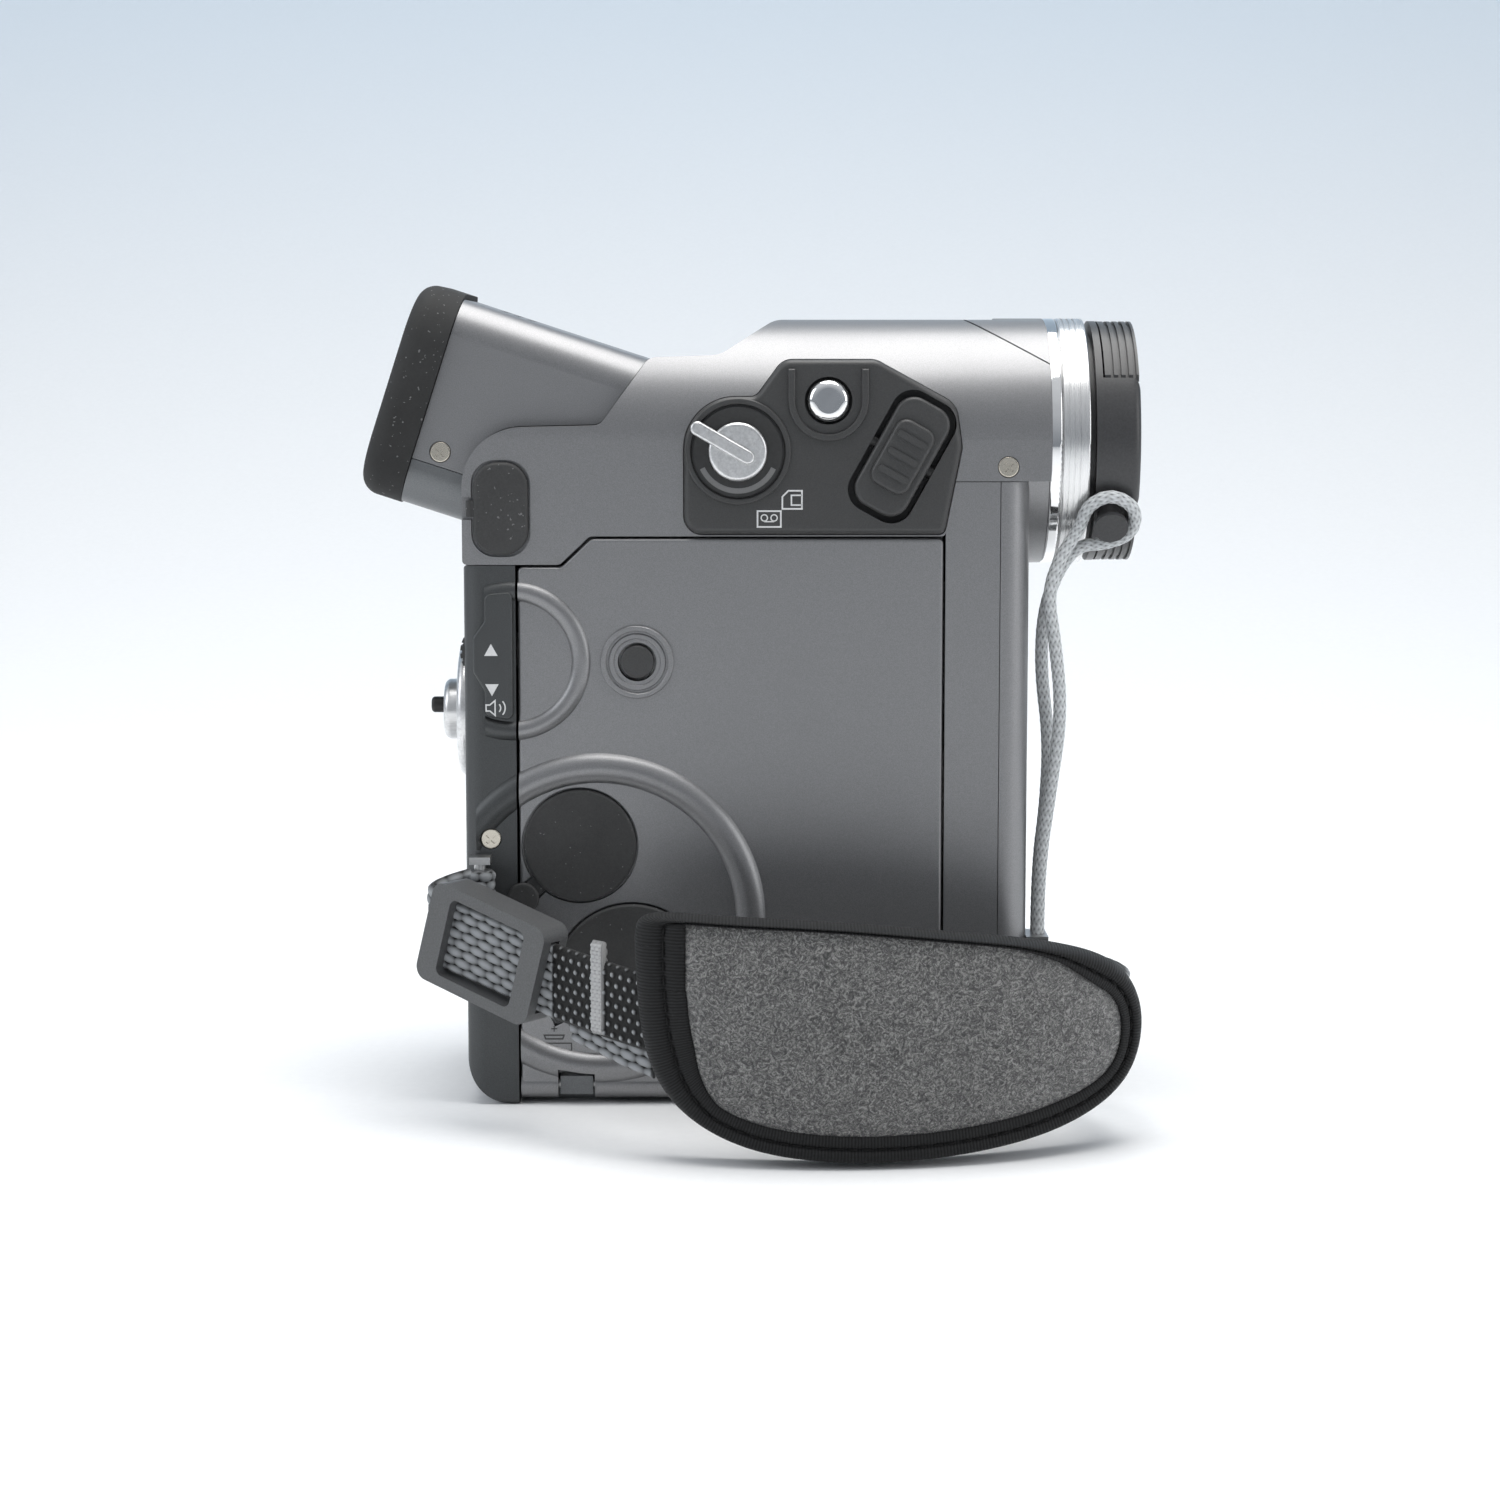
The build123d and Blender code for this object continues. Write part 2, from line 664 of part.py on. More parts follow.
def cassette_carriage():
    """Folded metal holder that carries the cassette in and out with the door."""
    gap, sheet = 0.2, 0.7
    x = (cassette_rear - gap, cassette_rear + cassette_depth + gap)
    y = (cassette_inner_y - gap, cassette_inner_y + cassette_thickness + gap)
    z = (cassette_low - gap, cassette_low + cassette_height + gap)
    outer = block((x[0] - sheet, x[1]), (y[0] - sheet, y[1] + sheet), (z[0] - sheet, z[1]))
    tray = outer - block((x[0], x[1] + 1), y, (z[0], z[1] + 1)) - mouth(1.0)
    window = along_y(Pos(-6, cassette_low + 33) * RectangleRounded(26, 40, 3), y[1], y[1] + 2)
    for x_post, z_post in ((-24.0, 66.0), (6.0, 66.0), (4.0, 12.0), (0.0, 50.0)):
        tray += rod_y(1.5, grip_face + door_thickness, y[0], x_post, z_post)
    return tray - window


def menu_label():
    """Raised plate beside the menu wheel: it bulges to the rear where the arrows are."""
    narrow, wide, front = body_rear + 2.9, body_rear + 1.4, trim_edge - 0.4
    return outline(
        (narrow, wheel_z - 8.3, 1.2), (front, wheel_z - 8.9, 0.8),
        (front, wheel_z + 8.4, 0.8), (narrow, wheel_z + 8.0, 1.0),
        (narrow, wheel_z + 4.4, 0.8), (wide, wheel_z + 2.2, 1.0),
        (wide, wheel_z - 2.4, 1.0), (narrow, wheel_z - 5.0, 0.8),
    )


def wheel_slot():
    y = (wheel_y - wheel_width / 2 - 0.3, wheel_y + wheel_width / 2 + 0.3)
    z = (wheel_z - wheel_radius - 0.4, wheel_z + wheel_radius + 0.4)
    return block((body_rear - 1, wheel_x() + wheel_radius + 0.6), y, z)


def rear_cover():
    shell = lower_shell() & block((body_rear - 1, trim_edge - seam / 2), (-99, 99), (-1, lower_height))
    ridge = ring_ridge(big_ring_x, big_ring_z, big_ring_radius, 2.4, 1.1)
    ridge_low = rear_anchor()[2] + strap_width / 2 + 2.4
    x_ends = (body_rear + 1.6, trim_edge - seam / 2)
    shell += ridge & block(x_ends, (grip_face - 3, grip_face + wall / 2), (ridge_low, lower_height - 0.6))
    ridge = ring_ridge(small_ring_x, small_ring_z, small_ring_radius, 1.5, 0.7)
    for low, high in ((48.0, wheel_z - 8.0), (wheel_z + 6.0, lower_height - 0.6)):
        x_ends = (body_rear + 2.9, trim_edge - seam / 2)
        shell += ridge & block(x_ends, (grip_face - 3, grip_face + wall / 2), (low, high))
    plate = along_y(menu_label(), grip_face - 0.9, grip_face + wall / 2)
    shell += rim_fillet(plate, Axis.Y, 0.3, last=False)
    shell -= wheel_slot()
    shell -= rod_x(record_radius + press_gap, body_rear - 1, body_rear + wall + 1, record_y, record_z)
    shell -= rod_y(wheel_shaft_radius + running_gap, grip_face + 1.0, wheel_y, wheel_x(), wheel_z)
    return shell - screw_wells()


wheel_shaft_radius = 1.2


def wheel_x():
    return body_rear + wheel_radius - wheel_proud


def set_wheel():
    """Knurled menu wheel that looks out of the rear face."""
    low, high = wheel_y - wheel_width / 2, wheel_y + wheel_width / 2
    wheel = rod_y(wheel_radius, low, high, wheel_x(), wheel_z)
    for turn in range(24):
        groove = Rot(0, 15 * turn, 0) * Pos(wheel_radius, 0, 0) * Box(0.5, wheel_width + 1, 0.45)
        wheel -= Pos(wheel_x(), wheel_y, wheel_z) * groove
    return wheel + rod_y(wheel_shaft_radius, grip_face + 1.2, wheel_y, wheel_x(), wheel_z)


def start_stop_ring():
    """Silver ring round the record button."""
    ring = rod_x(record_ring_radius, body_rear - 1.5, body_rear, record_y, record_z)
    ring = rim_fillet(ring, Axis.X, 0.9, last=False)
    return ring - rod_x(record_radius + press_gap + 0.4, body_rear - 3, body_rear + 1, record_y, record_z)


def start_stop_button():
    head = rod_x(record_radius, body_rear - 3.7, body_rear + 1.4, record_y, record_z)
    head = rim_fillet(head, Axis.X, 0.9, last=False)
    nub = rod_x(1.1, body_rear - 5.6, body_rear - 3.6, record_y, record_z + 0.6)
    return head + fillet(nub.edges().sort_by(Axis.X)[0], 0.5)


def left_cover():
    """Left casing with the bay that the screen panel folds into."""
    zone = block((trim_edge + seam / 2, body_front + 1), (left_seam() + seam / 2, 99), (-1, lower_height))
    shell = lower_shell() & zone
    bay = block(*screen_bay(0))
    liner = block(*screen_bay(bay_wall)) & lower_envelope() & zone
    shell = (shell + liner) - bay
    shell -= rod_z(screen_pin_radius, screen_low - 1.5, screen_high + 1.5, screen_axis_x(), screen_axis_y())
    for x in menu_button_places():
        shell -= rod_y(2.2 + press_gap, left_face - wall - 1, left_face + 1, x, menu_button_z)
    shell -= block((screen_rear - 3.4, screen_rear + 1), (left_face - 3.0, left_face + 1), (38, 50))
    return shell


def screen_bay(grow):
    """Bay walls; grow thickens it into its liner."""
    return (
        (screen_rear - grow, body_front - screen_front_wall + grow),
        (left_face - screen_thickness - screen_gap - grow, left_face + 1),
        (screen_low - grow, screen_high + grow),
    )


def screen_axis_x():
    return body_front - screen_front_wall - screen_gap - screen_thickness / 2


def screen_axis_y():
    return left_face - screen_thickness / 2


def screen_profile(grow=0.0):
    """Plan view of the screen panel: square at the rear, round about its hinge."""
    half = screen_thickness / 2
    flat = outline(
        (screen_rear + screen_gap, screen_axis_y() - half, 1.0),
        (screen_axis_x(), screen_axis_y() - half, 0),
        (screen_axis_x(), screen_axis_y() + half, 0),
        (screen_rear + screen_gap, screen_axis_y() + half, 1.6),
    )
    return flat + Pos(screen_axis_x(), screen_axis_y()) * Circle(half)


hinge_block_length = 22.0


def lcd_shell():
    low, high = screen_low + screen_gap, screen_high - screen_gap
    shell = along_z(screen_profile(), low, high)
    middle = (screen_low + screen_high) / 2
    half = hinge_block_length / 2 + 0.15
    shell -= block((screen_axis_x() - 5.0, body_front), (0, 99), (middle - half, middle + half))
    inner_face = screen_axis_y() - screen_thickness / 2
    shell -= block(lcd_window_x(), (inner_face + 1.3, screen_axis_y() + 1.0), lcd_window_z())
    (x0, x1), (z0, z1) = lcd_window_x(), lcd_window_z()
    shell -= block((x0 + 2.0, x1 - 2.0), (0, inner_face + 2), (z0 + 2.5, z1 - 2.5))
    return shell - rod_z(screen_pin_radius + running_gap, 0, 99, screen_axis_x(), screen_axis_y())


def lcd_window_x():
    return (screen_rear + 4.5, screen_axis_x() - 7.0)


def lcd_window_z():
    return (screen_low + 4.5, screen_high - 4.5)


def lcd_screen():
    (x0, x1), (z0, z1) = lcd_window_x(), lcd_window_z()
    y0 = screen_axis_y() - screen_thickness / 2
    return block((x0, x1), (y0 + 1.3, screen_axis_y() + 1.0), (z0, z1))


def lcd_hinge_block():
    """Metal hinge between the panel and the body, turning on the upright pin."""
    middle = (screen_low + screen_high) / 2
    half = hinge_block_length / 2
    x, y, z = screen_axis_x(), screen_axis_y(), (middle - half, middle + half)
    barrel = rod_z(screen_thickness / 2 - 0.2, *z, x, y)
    arm = block((x - 5.0, x), (y - 2.4, y + 2.4), z)
    return barrel + arm - rod_z(screen_pin_radius + running_gap, 0, 99, x, y)


def lcd_hinge_pin():
    return rod_z(screen_pin_radius, screen_low - 1.4, screen_high + 1.4, screen_axis_x(), screen_axis_y())


menu_button_z = 9.0


def menu_button_places():
    return [-14.0 + 12.0 * step for step in range(2)]


def menu_button(x):
    cap = rod_y(2.2, left_face - wall - 0.6, left_face + 0.5, x, menu_button_z)
    return rim_fillet(cap, Axis.Y, 0.35)


def front_cover():
    left = left_seam() - seam / 2
    zone = block((strip_edge + 7.3 + seam / 2, body_front + 1), (grip_face - 1, left), (-1, 99))
    x_ends = (strip_edge + seam / 2, body_front + 1)
    wide = block(x_ends, (grip_face + wall, left), (lower_height - 0.5, 99))
    riser = block(x_ends, (left - seam, 99), (lower_height + seam, 99))
    cover = lower_shell() & (zone + wide + riser)
    cover -= rod_x(ring_radius + 0.2, body_rear, 99, 0, lens_z)
    cover -= along_y(panel_outline(seam), grip_face - 4, grip_face + panel_depth)
    return cover - battery_door_slot() - screw_wells()


def front_side_strip():
    x_ends = (strip_edge, strip_edge + 7.3 - seam / 2)
    zone = block(x_ends, (grip_face - 1, grip_face + wall - seam), (0.8, 99))
    strip = (lower_shell() & zone) - rod_x(ring_radius + 0.2, body_rear, 99, 0, lens_z)
    strip -= along_y(panel_outline(seam), grip_face - 4, grip_face + panel_depth)
    return strip - screw_wells()


def bottom_cover():
    x = (trim_edge + seam / 2, strip_edge + 7.3 - seam / 2)
    base = lower_shell() & block(x, (grip_face + 4.4, left_seam() - seam / 2), (-1, 4))
    for low, high in knuckle_gaps():
        base += block((low + 0.3, high - 0.3), (hinge_y - 1.0, hinge_y + 1.2), (1.3, hinge_z + 1.2))
        base += block((low + 0.3, high - 0.3), (hinge_y, grip_face + 6), (1.3, wall))
    base -= rod_x(hinge_pin_radius, -99, 99, hinge_y, hinge_z)
    base -= rod_z(tripod_radius + 0.05, -1, 3, tripod_x, tripod_y)
    return base - battery_door_slot() - screw_wells()


def tripod_socket():
    """Metal 1/4 inch tripod insert with a flange behind the base wall."""
    socket = rod_z(tripod_radius, 0, wall + 1.0, tripod_x, tripod_y)
    socket += rod_z(tripod_radius + 1.0, wall, wall + 1.0, tripod_x, tripod_y)
    socket += rod_z(4.2, wall, tripod_bore_length + 0.8, tripod_x, tripod_y)
    return socket - rod_z(tripod_bore_radius, -1, tripod_bore_length, tripod_x, tripod_y)


def battery_door_slot():
    """Opening for the battery, and the slot that its door slides out through."""
    gap = battery_door_gap
    y = (battery_y[0] + battery_door_inset - gap, battery_y[1] + gap)
    opening = block((battery_x[0] - gap, battery_x[1] + gap), y, (-1, wall + 1))
    return opening + block((battery_x[1], body_front + 1), y, (-1, 1.35 + gap))


def battery_door():
    """Sliding lid in the base under the battery."""
    x, y = battery_x, (battery_y[0] + battery_door_inset, battery_y[1])
    lid = block(x, y, (0.25, 1.35))
    for step in range(4):
        start = x[0] + 3 + 1.4 * step
        lid += block((start, start + 0.7), (y[0] + 2, y[1] - 2), (0.05, 0.4))
    return lid


def battery_pack():
    pack = block(battery_x, battery_y, battery_z)
    return fillet(pack.edges().filter_by(Axis.Z), 1.5)


# ===========================================================================
# inside
# ===========================================================================
drum_x, drum_z = 22.6, cassette_low + 33.0


def chassis_frame():
    """Deck plate that carries the drum, the reel drives and the board."""
    x = (cassette_rear, strip_edge + 6.5)
    plate = block(x, (deck_y, deck_y + 1.0), (wall, lower_height - 3.5))
    foot = block(x, (deck_y, deck_y + 2.4), (wall, wall + 0.5))
    plate -= along_y(Pos(-6, 38) * RectangleRounded(24, 22, 3), deck_y - 1, deck_y + 2)
    plate -= rod_y(1.5 + running_gap, deck_y - 1, deck_y + 2, drum_x, drum_z)
    for z in reel_heights():
        plate -= rod_y(1.0 + running_gap, deck_y - 1, deck_y + 2, reel_x, z)
    return plate + foot - rod_z(tripod_radius + 1.3, 0, tripod_bore_length + 1.2, tripod_x, tripod_y)


reel_x = -15.5


def reel_heights():
    return (cassette_low + 18.0, cassette_low + 48.0)


def head_drum():
    """Polished drum with its shaft through the deck plate."""
    top = deck_y - 0.3
    drum = rod_y(drum_radius, top - drum_height, top, drum_x, drum_z)
    groove = rod_y(drum_radius + 1, top - 5.1, top - 4.8, drum_x, drum_z)
    groove -= rod_y(drum_radius - 0.5, top - 6, top - 4, drum_x, drum_z)
    return drum - groove + rod_y(1.5, top, deck_y + 1.6, drum_x, drum_z)


def reel_drive(z):
    """Geared reel drive on the far side of the deck plate."""
    low = deck_y + 1.3
    gear = rod_y(6.0, low, low + 1.6, reel_x, z)
    for turn in range(24):
        gear -= Pos(reel_x, low + 0.8, z) * Rot(0, 15 * turn, 0) * Pos(6.0, 0, 0) * Box(0.9, 3, 0.7)
    return gear + rod_y(1.0, deck_y + 0.1, low, reel_x, z)


def main_circuit_board():
    y = deck_y + 4.6
    z = (tripod_bore_length + 1.5, lower_height - 4)
    board = block((cassette_rear, battery_x[0] - 1.5), (y, y + 1.0), z)
    chips = ((-20, 18, 9, 9), (-8, 30, 11, 11), (-20, 48, 8, 12), (-6, 58, 6, 6), (-16, 62, 5, 5))
    for x, z, wide, tall in chips:
        chip = block((-wide / 2, wide / 2), (y + 1.0, y + 2.2), (-tall / 2, tall / 2))
        board += Pos(x, 0, z) * chip
    return board


def lens_barrel():
    """Black tube that holds the glass, through the lens mount."""
    front = mount_face + chrome_length + 1.0
    tube = rod_x(barrel_radius, body_front - 30, front, 0, lens_z)
    tube -= rod_x(barrel_radius - 1.6, body_front - 28, front + 1, 0, lens_z)
    return tube - rod_x(3.5, body_front - 40, body_front, 0, lens_z)


def front_lens_element():
    """Front glass with a bulged outer face."""
    rim = barrel_radius - 1.7
    back = mount_face + chrome_length - 4.0
    edges = Polyline((back + 2.0, rim), (back, rim), (back, 0), (back + 3.6, 0))
    dome = ThreePointArc((back + 3.6, 0), (back + 3.15, rim * 0.55), (back + 2.0, rim))
    face = make_face(edges.edges() + dome.edges())
    return Pos(0, 0, lens_z) * revolve(Plane.XZ * face, Axis.X)


def chrome_trim_ring():
    ring = rod_x(ring_radius, mount_face, mount_face + chrome_length, 0, lens_z)
    ring = fillet(ring.edges().filter_by(GeomType.CIRCLE), 0.35)
    return ring - rod_x(barrel_radius + 0.2, body_front, mount_face + 9, 0, lens_z)


def lens_front_ring():
    start = mount_face + chrome_length
    ring = rod_x(ring_radius, start, start + silver_length, 0, lens_z)
    ring = fillet(ring.edges().filter_by(GeomType.CIRCLE), 0.3)
    for step in range(3):
        groove = rod_x(ring_radius + 1, start + 0.7 + 0.75 * step, start + 0.95 + 0.75 * step, 0, lens_z)
        ring -= groove - rod_x(ring_radius - 0.2, start, start + silver_length, 0, lens_z)
    ring -= rod_x(barrel_radius + 0.2, start - 1, start + 1.2, 0, lens_z)
    return ring - rod_x(ring_bore, start + 1.2, start + 9, 0, lens_z)


# ===========================================================================
# lens cap and its cord
# ===========================================================================
cap_rear = mount_face + chrome_length + silver_length + cap_gap
cap_front = cap_rear + cap_thickness


def cap_pocket(sign, grow):
    """Space for a squeeze tab at the top (+1) or the bottom (-1) of the cap."""
    low = cap_radius - tab_height - (tab_travel + 0.4 if grow else 0)
    half = tab_half_width + (0.3 if grow else 0)
    z = sorted((lens_z + sign * low, lens_z + sign * (cap_radius + 2)))
    rear = cap_rear + 1.2 - (0.25 if grow else 0)
    front = cap_front + (1 if grow else 0)
    return block((rear, front), (-half, half), tuple(z))


def lug_place():
    """On the rim of the cap, local x pointing straight out of it."""
    return Pos(lug_x, 0, lens_z) * Rot(lug_angle, 0, 0)


def lens_cap_body():
    disc = rod_x(cap_radius, cap_rear, cap_front, 0, lens_z)
    disc = rim_fillet(disc, Axis.X, 1.1)
    skirt = rod_x(ring_bore - 0.4, cap_rear - 2.2, cap_rear, 0, lens_z)
    skirt -= rod_x(ring_bore - 1.8, cap_rear - 3, cap_rear, 0, lens_z)
    dish = rod_x(11.0, cap_front - 0.7, cap_front + 1, 0, lens_z)
    dish -= block((0, 99), (-99, 99), (lens_z + 8.2, 199)) + block((0, 99), (-99, 99), (0, lens_z - 8.2))
    lug = lug_place() * (Pos(0, cap_radius + 0.9, 0) * Rot(90, 0, 0) * Cylinder(lug_radius, 3.2))
    knob = lug_place() * (Pos(0, cap_radius + 2.9, 0) * Rot(90, 0, 0) * Cylinder(lug_radius + 0.7, 0.8))
    cap = disc + skirt + lug + knob - dish
    return cap - cap_pocket(1, True) - cap_pocket(-1, True)


def lens_cap_tab(sign):
    """Ribbed squeeze tab that slides towards the middle of the cap."""
    rim = rod_x(cap_radius - 0.05, cap_rear, cap_front - 0.2, 0, lens_z)
    tab = rim & cap_pocket(sign, False)
    for step in range(4):
        x = cap_rear + 2.0 + 1.0 * step
        groove = rod_x(cap_radius + 1, x, x + 0.45, 0, lens_z)
        groove -= rod_x(cap_radius - 0.5, x - 1, x + 1, 0, lens_z)
        tab -= groove
    return tab


def strand_front():
    """Hand-placed route from the strap's front fixing up to the cap's lug."""
    return [(39.3, -14.4, 22.8), (39.3, -14.4, 31.5), (40.8, -14.5, 42.5), (42.2, -14.8, 53.0),
            (41.2, -15.2, 62.5), (40.0, -15.6, 69.4), (41.8, -15.2, 74.4)]


def strand_loop():
    """Round the lug, from the front strand to the back strand."""
    return [(41.8, -15.2, 74.4), (44.4, -14.0, 78.0), (45.2, -16.1, 81.2),
            (48.4, -17.2, 82.8), (51.9, -15.8, 80.8), (51.6, -13.3, 77.2),
            (48.0, -12.4, 75.8), (44.4, -12.5, 75.7), (41.6, -12.6, 72.2)]


def strand_back():
    return [(41.6, -12.6, 72.2), (39.7, -12.4, 66.4), (39.5, -12.2, 58.5), (40.7, -12.1, 49.5),
            (40.4, -12.0, 40.5), (39.3, -12.0, 31.5), (39.3, -12.0, 22.8)]


def corner_radii(points):
    """Largest arc that each pair of runs allows: 0.45 of the shorter run."""
    radii = []
    for before, here, after in zip(points, points[1:], points[2:]):
        into, out = Vector(*here) - Vector(*before), Vector(*after) - Vector(*here)
        half_turn = radians(into.get_angle(out)) / 2
        radii.append(0.45 * min(into.length, out.length) / tan(half_turn))
    return radii


def cord_route():
    """The whole route: the strands meet the loop in the middle of a straight run."""
    return strand_front() + strand_loop()[1:] + strand_back()[1:]


def cord_tube(points, name):
    radii = corner_radii(points)
    print(name, "cord radii", [round(radius, 1) for radius in radii])
    path = FilletPolyline(*points, radius=radii)
    start = Plane(origin=points[0], z_dir=path % 0)
    tube = sweep(start * Circle(cord_diameter / 2), path=path)
    full_volume = path.length * pi * cord_diameter**2 / 4
    print(name, "length", round(path.length, 1), "volume ratio", round(tube.volume / full_volume, 3))
    return tube


def middle_of(a, b):
    return tuple((p + q) / 2 for p, q in zip(a, b))


def cord_pieces():
    """Front strand, loop round the lug and back strand, face to face."""
    route = cord_route()
    first = len(strand_front()) - 1
    last = len(route) - len(strand_back())
    cut_a = middle_of(route[first - 1], route[first])
    cut_b = middle_of(route[last + 1], route[last + 2])
    return (
        cord_tube(route[:first] + [cut_a], "front strand"),
        cord_tube([cut_a] + route[first:last + 2] + [cut_b], "loop"),
        cord_tube([cut_b] + route[last + 2:], "back strand"),
    )


# ===========================================================================
# hand strap
# ===========================================================================
def band(points, width, thickness):
    """Flat webbing laid along points in plan, its width upright and following their heights."""
    pieces = None
    for (x0, y0, z0), (x1, y1, z1) in zip(points, points[1:]):
        turn = degrees(atan2(y1 - y0, x1 - x0))
        length = ((x1 - x0) ** 2 + (y1 - y0) ** 2) ** 0.5
        rise = z1 - z0
        corners = ((0, -width / 2), (length, rise - width / 2), (length, rise + width / 2), (0, width / 2))
        side = Polyline(*corners, close=True)
        run = Pos(0, thickness / 2, 0) * extrude(Plane.XZ * make_face(side.edges()), thickness)
        run = Pos(x0, y0, z0) * Rot(0, 0, turn) * run
        joint = rod_z(thickness / 2, z1 - width / 2, z1 + width / 2, x1, y1)
        pieces = run if pieces is None else pieces + run
        if (x1, y1, z1) != points[-1]:
            pieces += joint
    return pieces


def rear_anchor():
    return (body_rear + 2.2, grip_face - 2.2, strap_rear_z)


def pad_point(angle, radius):
    return (pad_bend_x + radius * cos(radians(angle)), pad_bend_y + radius * sin(radians(angle)))


def rear_strap_lug():
    """Metal loop on the rear corner that holds the strap."""
    x, y, z = rear_anchor()
    half = strap_width / 2 + 0.8
    bar = rod_z(0.8, z - half - 1.0, z + half + 1.0, x, y)
    for end in (z - half - 1.0, z + half):
        bar += block((x - 1.4, x + 1.4), (y - 0.9, grip_face), (end, end + 1.0))
    return bar


def buckle_route():
    x, y, z = rear_anchor()
    return [(x - 1.6, y - 1.0, z), (-42.6, -26.6, 26.6), (-25.2, -38.2, 20.6), pad_start()]


def pad_start():
    middle = pad_bend_radius - pad_thickness / 2
    x, y = pad_point(247.5, middle)
    return (x, y, 18.4)


def strap_webbing():
    """Webbing from the rear lug through the buckle to the pad."""
    web = band(buckle_route(), strap_width, strap_thickness)
    x, y, z = rear_anchor()
    web += rod_z(2.0, z - strap_width / 2, z + strap_width / 2, x, y)
    web -= rod_z(0.85, z - 9, z + 9, x, y)
    return web - whole_pad()


def buckle_place():
    """Middle of the buckle, local x along the strap."""
    _, a, b, _ = buckle_route()
    turn = degrees(atan2(b[1] - a[1], b[0] - a[0]))
    length = ((b[0] - a[0]) ** 2 + (b[1] - a[1]) ** 2) ** 0.5
    fall = degrees(atan2(b[2] - a[2], length))
    return Pos(*middle_of(a, b)) * Rot(0, 0, turn) * Rot(0, -fall, 0)


def strap_buckle():
    """Ladder-lock buckle: a frame round the webbing with a middle bar."""
    long, tall = 19.0, strap_width + 3.6
    face = RectangleRounded(long, tall, 1.8) - RectangleRounded(long - 6.4, strap_width + 0.6, 1.0)
    frame = Pos(0, 2.6, 0) * extrude(Plane.XZ * face, 5.2)
    return buckle_place() * frame - band(buckle_route(), strap_width + 0.4, strap_thickness + 0.3)


def pad_outline(inset=0.0):
    """The pad laid flat against the side view: straight top, deep round bottom."""
    shape = outline(
        (-14.6, 31.0, 3.0), (20.0, 30.2, 80.0), (40.0, 26.6, 12.0), (51.2, 19.5, 6.0),
        (49.9, 7.5, 9.0), (34.0, 1.4, 24.0), (3.0, 1.0, 30.0), (-13.2, 9.5, 16.0),
    )
    return grown(shape, -inset)


def pad_slab(extra=0.0):
    outer = Pos(pad_bend_x, pad_bend_y) * Circle(pad_bend_radius + extra)
    inner = Pos(pad_bend_x, pad_bend_y) * Circle(pad_bend_radius - pad_thickness - extra)
    ring = outer - inner
    window = Pos(19, grip_face - 32) * Rectangle(90, 40)
    return along_z(ring & window, -5, 45)


def whole_pad():
    return along_y(pad_outline(), grip_face - 50, grip_face - 12) & pad_slab(0.1)


def strap_pad():
    return along_y(pad_outline(pad_binding), grip_face - 50, grip_face - 12) & pad_slab()


def strap_pad_binding():
    edge = pad_outline() - pad_outline(pad_binding)
    return along_y(edge, grip_face - 50, grip_face - 12) & pad_slab(-0.6)


def front_anchor():
    return (body_front + 1.9, grip_face + 3.0, strap_front_z)


def front_strap_lug():
    """Loop on the front corner for the strap and the cap's cord."""
    x, y, z = front_anchor()
    half = strap_width / 2 + 0.3
    lug = block((body_front, x + 1.1), (y - 1.2, y + 5.4), (z + half, z + half + 1.0))
    lug += block((body_front, x + 1.1), (y - 1.2, y + 5.4), (z - half - 1.0, z - half))
    return lug + rod_z(0.8, z - half - 0.5, z + half + 0.5, x, y)


def front_webbing():
    """Short webbing from the pad's front end back to the front lug."""
    x, y, z = front_anchor()
    end_x, end_y = pad_point(310.8, pad_bend_radius - pad_thickness / 2)
    route = [(end_x, end_y, z), (end_x + 1.2, end_y + 9.0, z), (x + 1.9, y - 2.6, z), (x + 1.9, y, z)]
    web = band(route, strap_width, strap_thickness)
    web += rod_z(2.0, z - strap_width / 2, z + strap_width / 2, x, y) - block((-99, x), (-99, 99), (0, 99))
    return web - rod_z(0.85, z - 9, z + 9, x, y) - whole_pad()


# ===========================================================================
# screws
# ===========================================================================
def screw_places():
    """Head centre and outward direction of each casing screw."""
    tilt_screw = (-41.5, -finder_half_width, lens_z - 1.1)
    return (
        ((body_front - 3.1, grip_face, lens_z - 3.0), "-y"),
        ((body_rear + 3.5, grip_face, rear_screw_z), "-y"),
        (tilt_screw, "-y"),
        ((-26.0, -4.0, 0.0), "-z"),
        ((18.0, 3.0, 0.0), "-z"),
    )


def screw_wells():
    """Clearance holes that the screws sit in."""
    holes = None
    for (x, y, z), way in screw_places():
        if way == "-y":
            hole = rod_y(screw_head_radius + 0.05, y - 1, y + 0.75, x, z)
        else:
            hole = rod_z(screw_head_radius + 0.05, z - 1, z + 0.95, x, y)
        holes = hole if holes is None else holes + hole
    return holes


def screw(place, way):
    """Cross-head screw, its head level with the casing."""
    x, y, z = place
    head = Cylinder(screw_head_radius, 0.7)
    head = fillet(head.edges().sort_by(Axis.Z)[-1], 0.2)
    head -= Pos(0, 0, 0.3) * (Box(1.6, 0.36, 0.5) + Box(0.36, 1.6, 0.5))
    if way == "-y":
        return Pos(x, y + 0.35, z) * Rot(90, 0, 0) * Rot(0, 0, 45) * head
    return Pos(x, y, z + 0.55) * Rot(180, 0, 0) * Rot(0, 0, 45) * head


def casing_screws():
    return Compound(children=[screw(place, way) for place, way in screw_places()])


